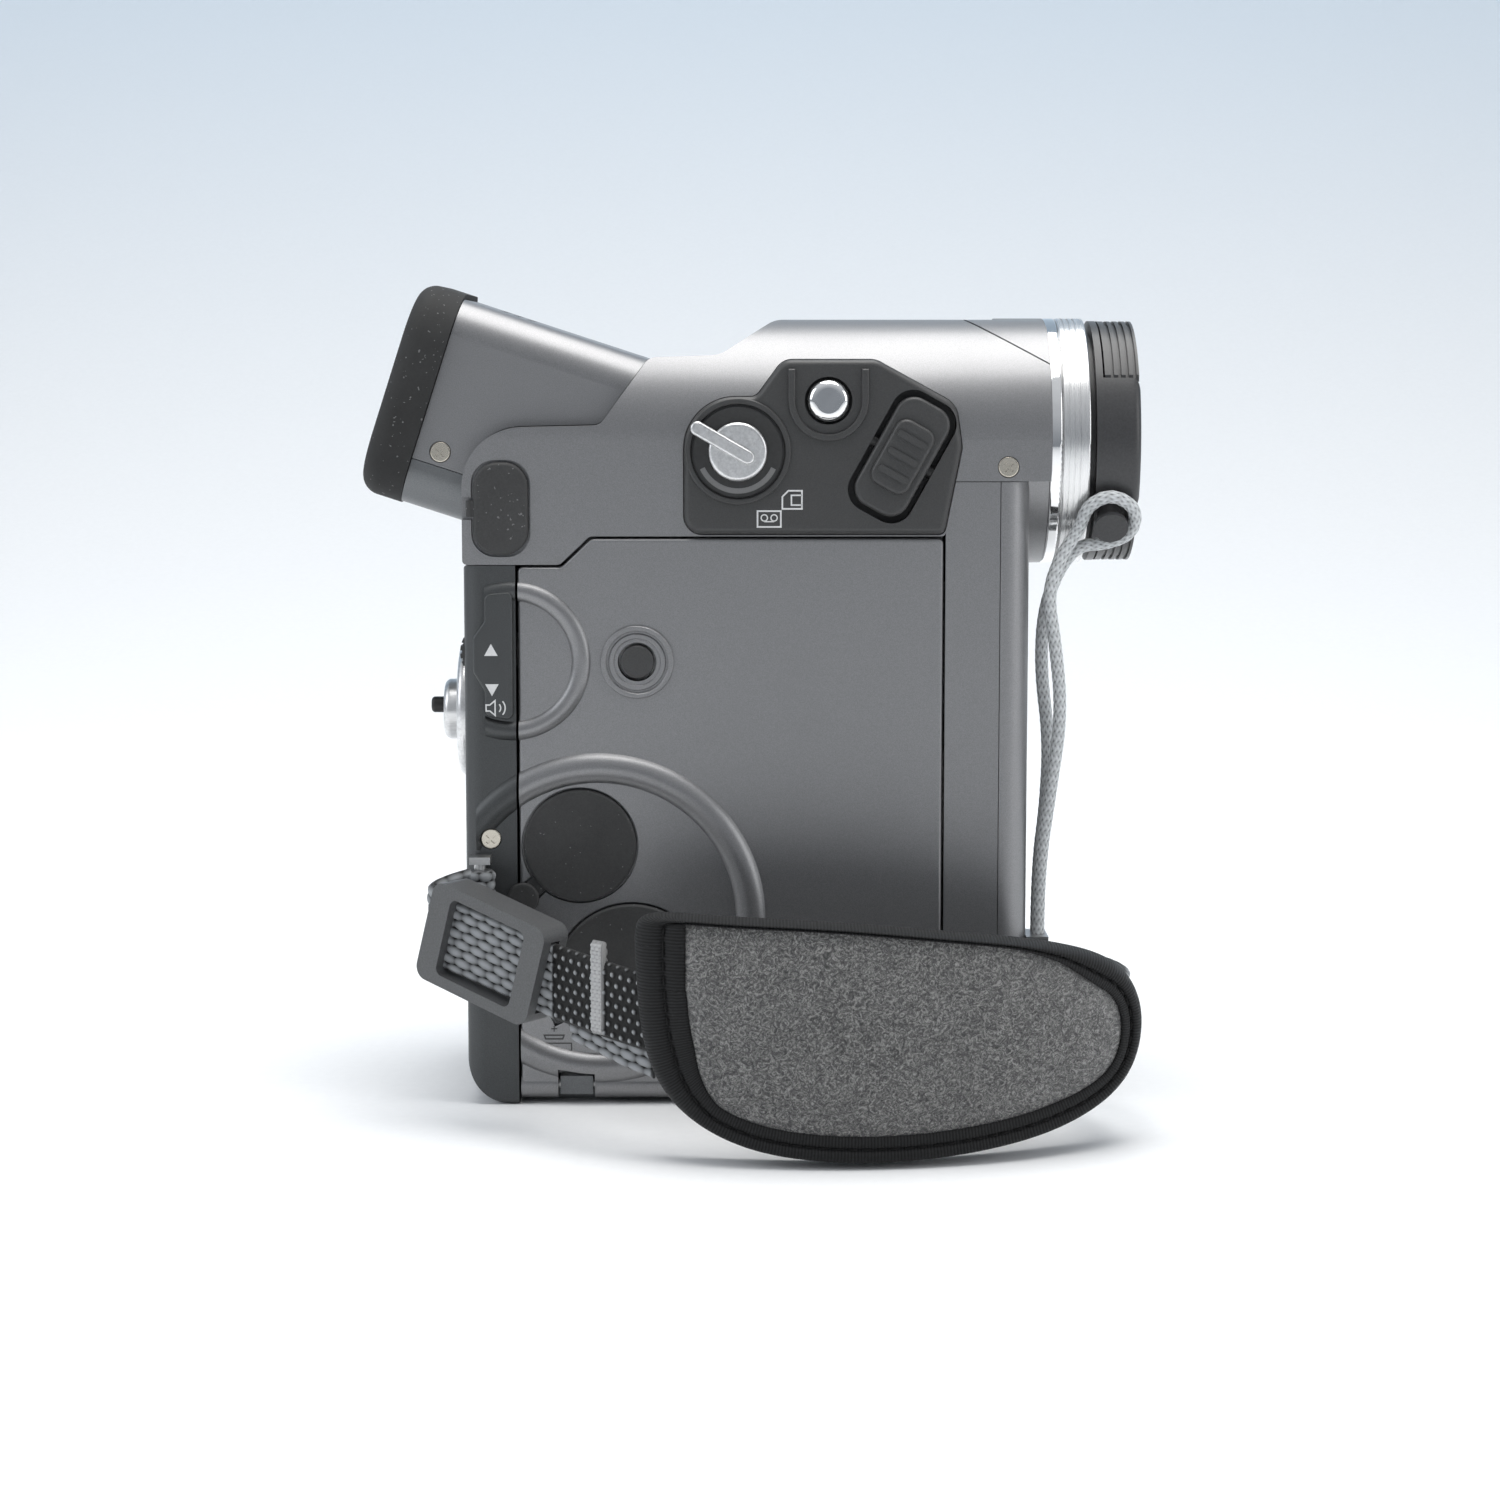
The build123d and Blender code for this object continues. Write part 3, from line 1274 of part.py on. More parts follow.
# ===========================================================================
# every node, by name
# ===========================================================================
def build():
    cord_front, cord_loop, cord_back = cord_pieces()
    nodes = {
        "upper_housing": upper_housing(),
        "viewfinder_housing": viewfinder_housing() - screw_wells(),
        "viewfinder_base": viewfinder_base(),
        "dioptre_lever": dioptre_lever(),
        "eyecup": eyecup(),
        "eyepiece_lens": eyepiece_lens(),
        "control_panel": control_panel(),
        "mode_dial": mode_dial(),
        "photo_button": photo_button(),
        "zoom_rocker": zoom_rocker(),
        "mic_cover": mic_cover(),
        "mic_jack": mic_jack(),
        "cassette_cover": cassette_cover(),
        "cassette_hinge_pin": cassette_hinge_pin(),
        "cassette_carriage": cassette_carriage(),
        "tape_cassette": tape_cassette(),
        "audio_level_button": audio_level_button(),
        "s_video_cover": hook_cover(s_cover_x, s_cover_z, s_cover_radius, s_tether_angle),
        "av_cover": hook_cover(av_cover_x, av_cover_z, av_cover_radius, av_tether_angle),
        "jack_board": jack_board(),
        "rear_cover": rear_cover(),
        "set_wheel": set_wheel(),
        "start_stop_ring": start_stop_ring(),
        "start_stop_button": start_stop_button(),
        "left_cover": left_cover(),
        "lcd_shell": lcd_shell(),
        "lcd_screen": lcd_screen(),
        "lcd_hinge_block": lcd_hinge_block(),
        "lcd_hinge_pin": lcd_hinge_pin(),
        "front_cover": front_cover(),
        "front_side_strip": front_side_strip(),
        "bottom_cover": bottom_cover(),
        "tripod_socket": tripod_socket(),
        "battery_door": battery_door(),
        "battery_pack": battery_pack(),
        "chassis_frame": chassis_frame(),
        "head_drum": head_drum(),
        "reel_drive_lower": reel_drive(reel_heights()[0]),
        "reel_drive_upper": reel_drive(reel_heights()[1]),
        "main_circuit_board": main_circuit_board(),
        "lens_barrel": lens_barrel(),
        "front_lens_element": front_lens_element(),
        "chrome_trim_ring": chrome_trim_ring(),
        "lens_front_ring": lens_front_ring(),
        "lens_cap_body": lens_cap_body(),
        "lens_cap_tab_upper": lens_cap_tab(1),
        "lens_cap_tab_lower": lens_cap_tab(-1),
        "cord_front_strand": cord_front,
        "cord_loop": cord_loop,
        "cord_back_strand": cord_back,
        "rear_strap_lug": rear_strap_lug(),
        "strap_webbing": strap_webbing(),
        "strap_buckle": strap_buckle(),
        "strap_pad": strap_pad(),
        "strap_pad_binding": strap_pad_binding(),
        "front_strap_lug": front_strap_lug(),
        "front_webbing": front_webbing(),
        "casing_screws": casing_screws(),
    }
    for number, x in enumerate(menu_button_places(), start=1):
        nodes[f"menu_button_{number}"] = menu_button(x)
    return nodes


os.makedirs("parts", exist_ok=True)
for name, shape in build().items():
    export_step(shape, f"parts/{name}.step")
print("done")
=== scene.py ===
# %% [markdown]
# # A hand-held tape camcorder
# The hard parts come ready made: the casings, buttons, lens and cassette deck are solids that
# already sit in the right place. This notebook loads them, gives every one of them a finish,
# and then makes by hand what a solid modeller is bad at: braided cord, woven webbing, suede.

# %% Load the camcorder
from math import atan2, cos, hypot, pi, radians, sin, sqrt

import bmesh
import bpy
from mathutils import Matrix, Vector


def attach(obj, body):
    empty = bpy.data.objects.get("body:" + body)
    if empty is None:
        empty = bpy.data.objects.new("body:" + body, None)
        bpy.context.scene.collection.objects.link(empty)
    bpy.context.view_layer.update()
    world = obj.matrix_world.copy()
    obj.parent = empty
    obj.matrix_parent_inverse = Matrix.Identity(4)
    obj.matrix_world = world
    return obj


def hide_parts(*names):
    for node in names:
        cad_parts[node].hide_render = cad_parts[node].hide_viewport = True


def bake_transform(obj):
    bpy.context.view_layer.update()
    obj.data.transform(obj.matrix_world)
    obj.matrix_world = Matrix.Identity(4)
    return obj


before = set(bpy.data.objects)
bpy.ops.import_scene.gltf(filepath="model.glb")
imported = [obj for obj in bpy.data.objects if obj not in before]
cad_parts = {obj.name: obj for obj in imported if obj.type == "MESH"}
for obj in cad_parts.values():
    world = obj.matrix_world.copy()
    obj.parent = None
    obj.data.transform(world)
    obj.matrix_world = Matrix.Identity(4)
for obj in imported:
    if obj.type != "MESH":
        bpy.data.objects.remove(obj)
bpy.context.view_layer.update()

MM = 0.001

# %% [markdown]
# ## Where we look from
# The camera stands about half a metre in front of the right-hand side and a little above it, so
# that the top of the housing shows as a thin strip. A long lens keeps the verticals straight.

# %% Camera
EYE, TILT = (0, -0.469, 0.1014), 83.3
LENS_LENGTH, SENSOR_WIDTH = 81, 36
camera_data = bpy.data.cameras.new("right_hand_view")
camera_data.lens = LENS_LENGTH
camera_data.sensor_width = SENSOR_WIDTH
camera = bpy.data.objects.new("right_hand_view", camera_data)
camera.location = EYE
camera.rotation_euler = (radians(TILT), 0, 0)
bpy.context.scene.collection.objects.link(camera)
bpy.context.scene.camera = camera
print("camera at", tuple(camera.location))

# %% [markdown]
# ## Small tools for meshes
# Nearly every soft piece here is a grid: rows of points that follow a line, joined by quads.
# One helper makes an object out of points and faces, another joins rows into a skin.

# %% Mesh helpers
def new_piece(name, points, faces, body, smooth=True, uv=None):
    """A mesh object from points in millimetres, riding on a body."""
    mesh = bpy.data.meshes.new(name)
    mesh.from_pydata([tuple(value * MM for value in point) for point in points], [], faces)
    if uv:
        layer = mesh.uv_layers.new(name="UVMap")
        for loop in mesh.loops:
            layer.data[loop.index].uv = uv[loop.vertex_index]
    tidy = bmesh.new()
    tidy.from_mesh(mesh)
    bmesh.ops.recalc_face_normals(tidy, faces=tidy.faces)
    tidy.to_mesh(mesh)
    tidy.free()
    for face in mesh.polygons:
        face.use_smooth = smooth
    piece = bpy.data.objects.new(name, mesh)
    bpy.context.scene.collection.objects.link(piece)
    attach(piece, body)
    return piece


def skin(rows, columns, close_rows=False, close_columns=False):
    """Quads between rows of points that are stored one row after another."""
    faces = []
    for row in range(rows if close_rows else rows - 1):
        for column in range(columns if close_columns else columns - 1):
            a = row * columns + column
            b = row * columns + (column + 1) % columns
            c = (row + 1) % rows * columns + (column + 1) % columns
            d = (row + 1) % rows * columns + column
            faces.append((a, b, c, d))
    return faces


def end_caps(columns, total):
    """One face over the first row of a skin and one over its last row."""
    return [tuple(range(columns)), tuple(total - 1 - step for step in range(columns))]


def keep_relief(piece, heights):
    """Keep the height of the relief, 0 to 1, at each point, for the finish to read."""
    values = piece.data.attributes.new("relief", "FLOAT", "POINT")
    values.data.foreach_set("value", heights)


def smooth_line(points, name, step):
    """Evenly spaced points, in millimetres, along the NURBS line that has these control points."""
    data = bpy.data.curves.new(name, "CURVE")
    data.dimensions = "3D"
    data.resolution_u = 24
    spline = data.splines.new("NURBS")
    spline.points.add(len(points) - 1)
    for place, point in zip(spline.points, points):
        place.co = (*[value * MM for value in point], 1)
    spline.order_u = 3
    spline.use_endpoint_u = True
    holder = bpy.data.objects.new(name, data)
    line = bpy.data.meshes.new_from_object(holder)
    raw = [vertex.co / MM for vertex in line.vertices]
    bpy.data.objects.remove(holder)
    bpy.data.curves.remove(data)
    bpy.data.meshes.remove(line)
    return evenly(raw, step)


def evenly(raw, step):
    """The same polyline with its points about one step apart."""
    total = sum((b - a).length for a, b in zip(raw, raw[1:]))
    count = max(2, round(total / step))
    spaced, index, walked = [raw[0].copy()], 0, 0.0
    for number in range(1, count):
        target = total * number / count
        while walked + (raw[index + 1] - raw[index]).length < target:
            walked += (raw[index + 1] - raw[index]).length
            index += 1
        part = (target - walked) / (raw[index + 1] - raw[index]).length
        spaced.append(raw[index].lerp(raw[index + 1], part))
    return spaced + [raw[-1].copy()]


def line_length(points):
    return sum((b - a).length for a, b in zip(points, points[1:]))


print("mesh helpers ready")

# %% [markdown]
# ## The cord of the lens cap
# A thin braided cord keeps the cap from getting lost. It leaves the metal fixing low on the
# front, climbs to the cap, goes once round the little lug on its rim and comes back down. Its
# line is a NURBS curve through listed control points. The braid is real relief: strands
# wind both ways round the cord and dive under each other, so the radius follows two crossing
# waves. One mesh follows the whole line.

# %% Cord line
FRONT_STRAND = [(39.3, -14.4, 22.8), (39.3, -14.4, 31.5), (40.8, -14.5, 42.5), (42.2, -14.8, 53.0),
                (41.2, -15.2, 62.5), (40.0, -15.6, 69.4), (41.8, -15.2, 74.4)]
CAP_LOOP = [(44.4, -14.0, 78.0), (45.2, -16.1, 81.2), (48.4, -17.2, 82.8), (51.9, -15.8, 80.8),
            (51.6, -13.3, 77.2), (48.0, -12.4, 75.8), (44.4, -12.5, 75.7)]
BACK_STRAND = [(41.6, -12.6, 72.2), (39.7, -12.4, 66.4), (39.5, -12.2, 58.5), (40.7, -12.1, 49.5),
               (40.4, -12.0, 40.5), (39.3, -12.0, 31.5), (39.3, -12.0, 22.8)]
CORD_DIAMETER, CORD_STEP = 1.8, 0.13
cord_line = smooth_line(FRONT_STRAND + CAP_LOOP + BACK_STRAND, "cord_line", CORD_STEP)
cord_length = line_length(cord_line)
print("cord", round(cord_length, 1), "mm long")


# %% Braided cord
STRANDS, STRAND_TWIST = 4, 2.3


def carried_frames(points):
    """A side and an up direction at each point, carried along without twisting."""
    frames, side = [], None
    for index, point in enumerate(points):
        ahead = points[min(index + 1, len(points) - 1)] - points[max(index - 1, 0)]
        ahead.normalize()
        if side is None:
            side = ahead.orthogonal().normalized()
        side = (side - ahead * side.dot(ahead)).normalized()
        frames.append((side, ahead.cross(side)))
    return frames


def braid_height(around, along):
    """0 in the gaps and 1 on the crowns of eight strands each way round the cord."""
    left, right = STRANDS * around + along * STRAND_TWIST, STRANDS * around - along * STRAND_TWIST
    crown_left, crown_right = abs(cos(left)), abs(cos(right))
    over = 0.5 + 0.5 * sin(left + 0.8) * sin(right + 0.8)
    return max(crown_left * (0.45 + 0.55 * over), crown_right * (1.0 - 0.55 * over))


def braided_cord(name, points, diameter, body):
    around_steps = 36
    vertices, heights = [], []
    for index, (point, (side, up)) in enumerate(zip(points, carried_frames(points))):
        for step in range(around_steps):
            angle = 2 * pi * step / around_steps
            height = braid_height(angle, index * CORD_STEP)
            radius = diameter / 2 * (0.84 + 0.17 * height)
            vertices.append(point + (side * cos(angle) + up * sin(angle)) * radius)
            heights.append(height)
    faces = skin(len(points), around_steps, close_columns=True) + end_caps(around_steps, len(vertices))
    cord = new_piece(name, vertices, faces, body)
    keep_relief(cord, heights)
    return cord


cap_cord = braided_cord("cap_cord", cord_line, CORD_DIAMETER, "root")
cap_cord.parent = None
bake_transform(cap_cord)
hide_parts("cord_front_strand", "cord_loop", "cord_back_strand")
[tuple(point * MM) for point in cord_line[::4] + [cord_line[-1]]]
print("braided cord with", len(cap_cord.data.vertices), "points")

# %% [markdown]
# ## Shader maths in plain Python
# A material is a graph of nodes. Written out by hand, a simple sum needs a node, two links and a
# place to keep them. The little class below stands for one socket and knows how to add, subtract
# and multiply, so `1 - mask` builds its own Math node. A `Finish` owns a material and has one
# method that makes any other node.

# %% Sockets and finishes
class Signal:
    """One output socket, with arithmetic."""

    def __init__(self, finish, socket):
        self.finish = finish
        self.socket = socket

    def _sum(self, operation, a, b):
        return self.finish.node("ShaderNodeMath", {"operation": operation}, {0: a, 1: b})

    def __add__(self, other):
        return self._sum("ADD", self, other)

    __radd__ = __add__

    def __sub__(self, other):
        return self._sum("SUBTRACT", self, other)

    def __rsub__(self, other):
        return self._sum("SUBTRACT", other, self)

    def __mul__(self, other):
        return self._sum("MULTIPLY", self, other)

    __rmul__ = __mul__

    def __gt__(self, other):
        return self._sum("GREATER_THAN", self, other)


class Finish:
    """A material that is being built round one Principled shader."""

    def __init__(self, name, **constants):
        self.material = bpy.data.materials.new(name)
        self.material.use_nodes = True
        self.tree = self.material.node_tree
        self.tree.nodes.clear()
        self.shader = self.tree.nodes.new("ShaderNodeBsdfPrincipled")
        output = self.tree.nodes.new("ShaderNodeOutputMaterial")
        self.tree.links.new(self.shader.outputs[0], output.inputs[0])
        for socket, value in constants.items():
            self.shader.inputs[socket.replace("_", " ")].default_value = value

    def node(self, kind, settings, inputs, out=0):
        """Any node: its settings first, then the values or links of its sockets."""
        made = self.tree.nodes.new(kind)
        for setting, value in settings.items():
            if setting == "stops":
                self._stops(made.color_ramp, value)
            else:
                setattr(made, setting, value)
        for socket, value in inputs.items():
            self.feed(made.inputs[socket], value)
        return Signal(self, made.outputs[out])

    def _stops(self, ramp, stops):
        while len(ramp.elements) < len(stops):
            ramp.elements.new(0.5)
        for element, (place, colour) in zip(ramp.elements, stops):
            element.position = place
            element.color = colour if isinstance(colour, tuple) else (colour, colour, colour, 1)

    def feed(self, socket, value):
        if isinstance(value, Signal):
            self.tree.links.new(value.socket, socket)
        else:
            socket.default_value = value

    def place(self, kind="Object", stretch=(1, 1, 1)):
        """Where we are on the piece, in millimetres for solids and in its own UV for soft pieces."""
        spot = self.node("ShaderNodeTexCoord", {}, {}, kind)
        scale = tuple(s if kind == "UV" else s / MM for s in stretch)
        return self.node("ShaderNodeMapping", {}, {"Vector": spot, "Scale": scale})

    def noise(self, size, detail=2.0, roughness=0.5, distortion=0.0, at=None):
        """Cloudy noise whose blotches are about this many millimetres."""
        return self.node("ShaderNodeTexNoise", {}, {
            "Vector": at or self.place(), "Scale": 1 / size, "Detail": detail,
            "Roughness": roughness, "Distortion": distortion,
        })

    def ramp(self, factor, *stops):
        return self.node("ShaderNodeValToRGB", {"stops": stops}, {0: factor})

    def mixed(self, factor, first, second):
        return self.node("ShaderNodeMix", {"data_type": "RGBA"}, {0: factor, 6: first, 7: second}, 2)

    def bump(self, height, depth, strength=1.0):
        """Relief of this depth in millimetres."""
        sockets = {"Height": height, "Distance": depth * MM, "Strength": strength}
        return self.node("ShaderNodeBump", {}, sockets)

    def set(self, **sockets):
        for socket, value in sockets.items():
            self.feed(self.shader.inputs[socket.replace("_", " ")], value)
        return self.material


def grey(value, tint=(1, 1, 1)):
    return (value * tint[0], value * tint[1], value * tint[2], 1)


print("finishes can be mixed")

# %% [markdown]
# ## Metallic paint
# The silver casings are moulded plastic under a metallic paint: tiny flakes in a clear binder.
# Flakes need two things: specks a tenth of a millimetre across that change the brightness, and a
# reflection that stays soft. A faint larger cloud keeps big flat faces from looking printed.

# %% Metallic paints
def metal_paint(name, tone, tint=(1, 1, 1.02), rough=0.33):
    paint = Finish(name, Metallic=0.82, Coat_Roughness=0.18, Coat_Weight=0.12)
    flakes = paint.noise(0.11, 2.0, 0.7)
    clouds = paint.noise(9.0, 3.0)
    dark, light = grey(tone * 0.84, tint), grey(tone * 1.16, tint)
    colour = paint.ramp(flakes, (0.34, dark), (0.66, light))
    colour = paint.mixed(clouds * 0.22, colour, grey(tone * 0.9, tint))
    return paint.set(Base_Color=colour, Roughness=rough + 0.10 * flakes + 0.04 * clouds,
                     Normal=paint.bump(flakes, 0.006, 0.35))


silver_paint = metal_paint("silver_paint", 0.25)
dark_silver_paint = metal_paint("dark_silver_paint", 0.17, (0.96, 1.0, 1.03), 0.38)
trim_paint = metal_paint("charcoal_metallic_paint", 0.08, (0.96, 1.0, 1.02), 0.40)
print("three metallic paints")

# %% [markdown]
# ## Moulded plastic and rubber
# Moulds are spark-eroded, which leaves a fine even grain. The plastic is a single colour, but it
# is handled: roughness varies in smears. Rubber has the same recipe with a duller surface and
# specks of dust that cling to it.

# %% Plastics
def moulded(name, tone, rough, grain=0.16, depth=0.012, tint=(1, 1, 1), metallic=0.0):
    plastic = Finish(name, Metallic=metallic)
    texture = plastic.noise(grain, 3.0, 0.65)
    smears = plastic.noise(4.5, 4.0, 0.6)
    colour = plastic.ramp(texture, (0.30, grey(tone * 0.80, tint)), (0.72, grey(tone * 1.22, tint)))
    return plastic.set(Base_Color=colour, Roughness=rough - 0.06 + 0.14 * smears,
                       Normal=plastic.bump(texture, depth, 0.6))


def dusty_rubber(name, tone, rough, cell=0.22):
    rubber = Finish(name)
    pores = rubber.noise(cell, 4.0, 0.7)
    dust = rubber.noise(0.5, 1.0, 0.4) > 0.735
    haze = rubber.noise(6.0, 3.0)
    colour = rubber.ramp(pores, (0.3, grey(tone * 0.7)), (0.75, grey(tone * 1.35)))
    colour = rubber.mixed(dust * 0.35 + haze * 0.06, colour, grey(0.30))
    return rubber.set(Base_Color=colour, Roughness=rough + 0.10 * pores,
                      Normal=rubber.bump(pores, 0.03, 0.7))


panel_plastic = moulded("panel_plastic", 0.042, 0.42)
cap_plastic = moulded("cap_plastic", 0.040, 0.36, 0.3, 0.006, (1, 1, 1.04))
buckle_plastic = moulded("buckle_plastic", 0.088, 0.40, 0.2, 0.01, (0.98, 1, 1.02))
black_plastic = moulded("black_plastic", 0.012, 0.35)
tab_leather = moulded("black_leather", 0.020, 0.55, 0.55, 0.06)
cover_rubber = dusty_rubber("cover_rubber", 0.026, 0.55)
eyecup_rubber = dusty_rubber("eyecup_rubber", 0.011, 0.75, 0.34)
print("plastics and rubbers")

# %% [markdown]
# ## Bright metal
# Chrome only needs a mirror with a few smudges. Turned metal shows the marks of the tool: very
# fine lines round the axis. Stretching noise does it: tight along the axis, long round it. The
# dial and the start button are each one solid of two materials, so a plane across the solid
# decides which is which.

# %% Metals
def plated(name, tone, rough, tint=(1, 1, 1)):
    metal = Finish(name, Metallic=1.0)
    smudges = metal.noise(2.5, 3.0, 0.6)
    colour = metal.ramp(smudges, (0.3, grey(tone * 0.93, tint)), (0.7, grey(tone, tint)))
    return metal.set(Base_Color=colour, Roughness=rough + 0.07 * smudges,
                     Normal=metal.bump(smudges, 0.002, 0.2))


def turned(name, tone, rough, stretch):
    metal = Finish(name, Metallic=1.0)
    lines = metal.noise(1.0, 3.0, 0.7, at=metal.place(stretch=stretch))
    colour = metal.ramp(lines, (0.3, grey(tone * 0.82)), (0.7, grey(tone * 1.1)))
    return metal.set(Base_Color=colour, Roughness=rough + 0.16 * lines,
                     Normal=metal.bump(lines, 0.006, 0.5))


def half_turned(name, tone, base, axis, limit, toward, stretch):
    """Turned metal on one side of a plane across an axis, dark plastic on the other side."""
    part = Finish(name)
    depth = part.node("ShaderNodeSeparateXYZ", {}, {0: part.place()}, axis)
    metal = toward * (depth - limit) > 0
    lines = part.noise(1.0, 3.0, 0.7, at=part.place(stretch=stretch))
    silver = part.ramp(lines, (0.3, grey(tone * 0.82)), (0.7, grey(tone * 1.1)))
    plastic = part.ramp(lines, (0.3, grey(base * 0.8)), (0.7, grey(base * 1.2)))
    return part.set(Base_Color=part.mixed(metal, plastic, silver), Metallic=metal,
                    Roughness=0.40 - 0.14 * metal + 0.14 * lines, Normal=part.bump(lines, 0.005, 0.5))


SKIRT_FACE, NUB_BASE = -20.80, -42.1
chrome = plated("chrome", 0.86, 0.035)
dial_finish = half_turned("dial_knob_and_skirt", 0.70, 0.022, "Y", SKIRT_FACE, -1, (2.0, 0.2, 2.0))
button_finish = half_turned("button_and_nub", 0.70, 0.012, "X", NUB_BASE, 1, (0.2, 2.0, 2.0))
nickel = plated("champagne_nickel", 0.62, 0.22, (1.0, 0.93, 0.80))
pressed_steel = turned("pressed_steel", 0.50, 0.28, (0.3, 0.3, 9))
ring_silver = turned("turned_ring_silver", 0.74, 0.20, (14, 0.12, 0.12))
knob_silver = turned("turned_knob_silver", 0.72, 0.24, (2.0, 0.2, 2.0))
print("metals")

# %% [markdown]
# ## Glass, screen and circuit boards
# The lens glass is nearly black from in front. The violet of its coating is a painted reflection
# in its colour, which grows towards the rim: Layer Weight gives that. The screen is a dark grey
# mirror, its colour lightened towards the rim by the same painted reflection. Boards are green
# lacquer over straight copper tracks.

# %% Glass and boards
def coated_glass(name, deep, painted_rim_reflection, rough=0.03):
    glass = Finish(name, Coat_Weight=1.0, Coat_Roughness=0.02, IOR=1.55)
    # Painted reflection: the colour turns from the deep tone to the rim tone as the surface turns away
    # from the view.
    rim = glass.node("ShaderNodeLayerWeight", {}, {"Blend": 0.35}, "Facing")
    smudges = glass.noise(3.0, 3.0)
    return glass.set(Base_Color=glass.mixed(rim, deep, painted_rim_reflection), Roughness=rough + 0.05 * smudges)


def board_lacquer(name):
    board = Finish(name, Coat_Weight=0.4)
    tracks = board.node("ShaderNodeTexBrick", {"offset": 0.37, "squash": 1.4}, {
        "Vector": board.place(), "Color1": grey(1), "Color2": grey(0.85), "Mortar": grey(0),
        "Scale": 0.6, "Mortar Size": 0.06, "Brick Width": 1.6, "Row Height": 0.5,
    })
    colour = board.mixed(tracks, (0.05, 0.20, 0.09, 1), (0.012, 0.075, 0.035, 1))
    return board.set(Base_Color=colour, Roughness=0.30 + 0.2 * board.noise(1.5),
                     Normal=board.bump(tracks, 0.02, 0.4))


lens_glass = coated_glass("lens_glass", (0.006, 0.006, 0.016, 1), (0.12, 0.05, 0.22, 1))
screen_glass = coated_glass("screen_glass", (0.012, 0.014, 0.016, 1), (0.06, 0.07, 0.08, 1), 0.08)
board_green = board_lacquer("board_green")
print("glass and boards")

# %% [markdown]
# ## Cloth, suede and braid
# Three soft finishes. Suede is a nap of short fibres that lie in little curls, so its noise is
# distorted, with strong contrast and no shine at all. Elastic tape has fine ribs across it.
# The cord and the webbing carry their relief in the mesh, and the finish paints shade into the gaps.

# %% Soft finishes
def suede_nap(name):
    suede = Finish(name, Sheen_Weight=0.25, Sheen_Roughness=0.6, Specular_IOR_Level=0.15)
    spot = suede.place("UV")
    curls = suede.noise(0.95, 3.0, 0.68, 2.6, spot)
    fibres = suede.noise(0.30, 3.0, 0.72, 1.2, spot)
    shade = suede.noise(11.0, 3.0, 0.55, 0.4, spot)
    nap = 0.62 * curls + 0.38 * fibres
    valleys, middle, tips = grey(0.030), grey(0.105, (1.0, 0.99, 0.97)), grey(0.31, (1, 0.99, 0.96))
    colour = suede.ramp(nap, (0.40, valleys), (0.50, middle), (0.61, tips))
    colour = suede.mixed(shade * 0.30, colour, grey(0.10))
    return suede.set(Base_Color=colour, Roughness=0.86 + 0.1 * nap, Normal=suede.bump(nap, 0.42, 0.9))


def ribbed_tape(name, pitch=0.42):
    tape = Finish(name, Sheen_Weight=0.04, Specular_IOR_Level=0.22)
    spot = tape.place("UV")
    wobble = tape.noise(1.2, 2.0, 0.5, 0.0, spot)
    ribs = tape.node("ShaderNodeTexWave", {"bands_direction": "X"}, {
        "Vector": spot, "Scale": 1 / pitch / 3.2, "Distortion": 0.9,
        "Detail": 1.0, "Detail Scale": 2.0,
    })
    grooves, crowns = grey(0.003), grey(0.014, (0.96, 0.98, 1.04))
    colour = tape.ramp(0.7 * ribs + 0.3 * wobble, (0.2, grooves), (0.8, crowns))
    return tape.set(Base_Color=colour, Roughness=0.60 + 0.2 * wobble, Normal=tape.bump(ribs, 0.07, 0.7))


def yarn(name, painted_gap_shade, low, crown, fibre=0.12):
    """Thread whose mesh relief, 0 to 1, is kept in an attribute; its colour paints shade into the gaps.
    """
    cloth = Finish(name, Sheen_Weight=0.15, Specular_IOR_Level=0.3)
    relief = cloth.node("ShaderNodeAttribute", {"attribute_name": "relief"}, {}, "Fac")
    fibres = cloth.noise(fibre, 4.0, 0.75)
    # Painted shade: the colour darkens towards the gaps of the relief. The lighter crowns are painted
    # light on the cord and the other webbing; on the dark webbing they are its own pale dots.
    colour = cloth.ramp(0.86 * relief + 0.22 * fibres, (0.22, painted_gap_shade), (0.48, low), (0.95, crown))
    return cloth.set(Base_Color=colour, Roughness=0.62 + 0.2 * fibres,
                     Normal=cloth.bump(fibres, 0.06, 0.8))


suede = suede_nap("grey_suede")
binding_tape = ribbed_tape("black_elastic_tape")
lining_mesh = moulded("black_lining", 0.016, 0.85, 0.5, 0.12)
cord_yarn = yarn("silver_braid", grey(0.10), grey(0.42, (0.97, 1, 1.02)), grey(0.74, (0.97, 1, 1.01)))
web_yarn = yarn("grey_webbing", grey(0.010), grey(0.10, (0.97, 1, 1.03)), grey(0.30, (0.96, 1, 1.04)))
dotted_yarn = yarn("dark_webbing", grey(0.004), grey(0.018), grey(0.34, (0.96, 1, 1.04)))
pale_yarn = yarn("pale_fold", grey(0.05), grey(0.17), grey(0.42))
cap_cord.data.materials.append(cord_yarn)
print("soft finishes")

# %% [markdown]
# ## Printed marks
# The marks are pad-printed ink a few hundredths of a millimetre thick. Only plain symbols are
# used: a cassette, a card, arrows, a loudspeaker and a coin cell.

# %% Ink
def ink(name, tone):
    print_layer = Finish(name)
    wear = print_layer.noise(0.3, 3.0, 0.7)
    colour = print_layer.ramp(wear, (0.25, grey(tone * 0.85)), (0.5, grey(tone)))
    return print_layer.set(Base_Color=colour, Roughness=0.5 + 0.1 * wear)


white_ink = ink("white_ink", 0.66)
grey_ink = ink("grey_ink", 0.16)
dark_ink = ink("dark_ink", 0.05)
print("three inks")

# %% [markdown]
# ## Dressing the solids
# Every solid keeps its shape and only has its material swapped. The list reads like a paint
# plan: which finish, then the pieces that get it.

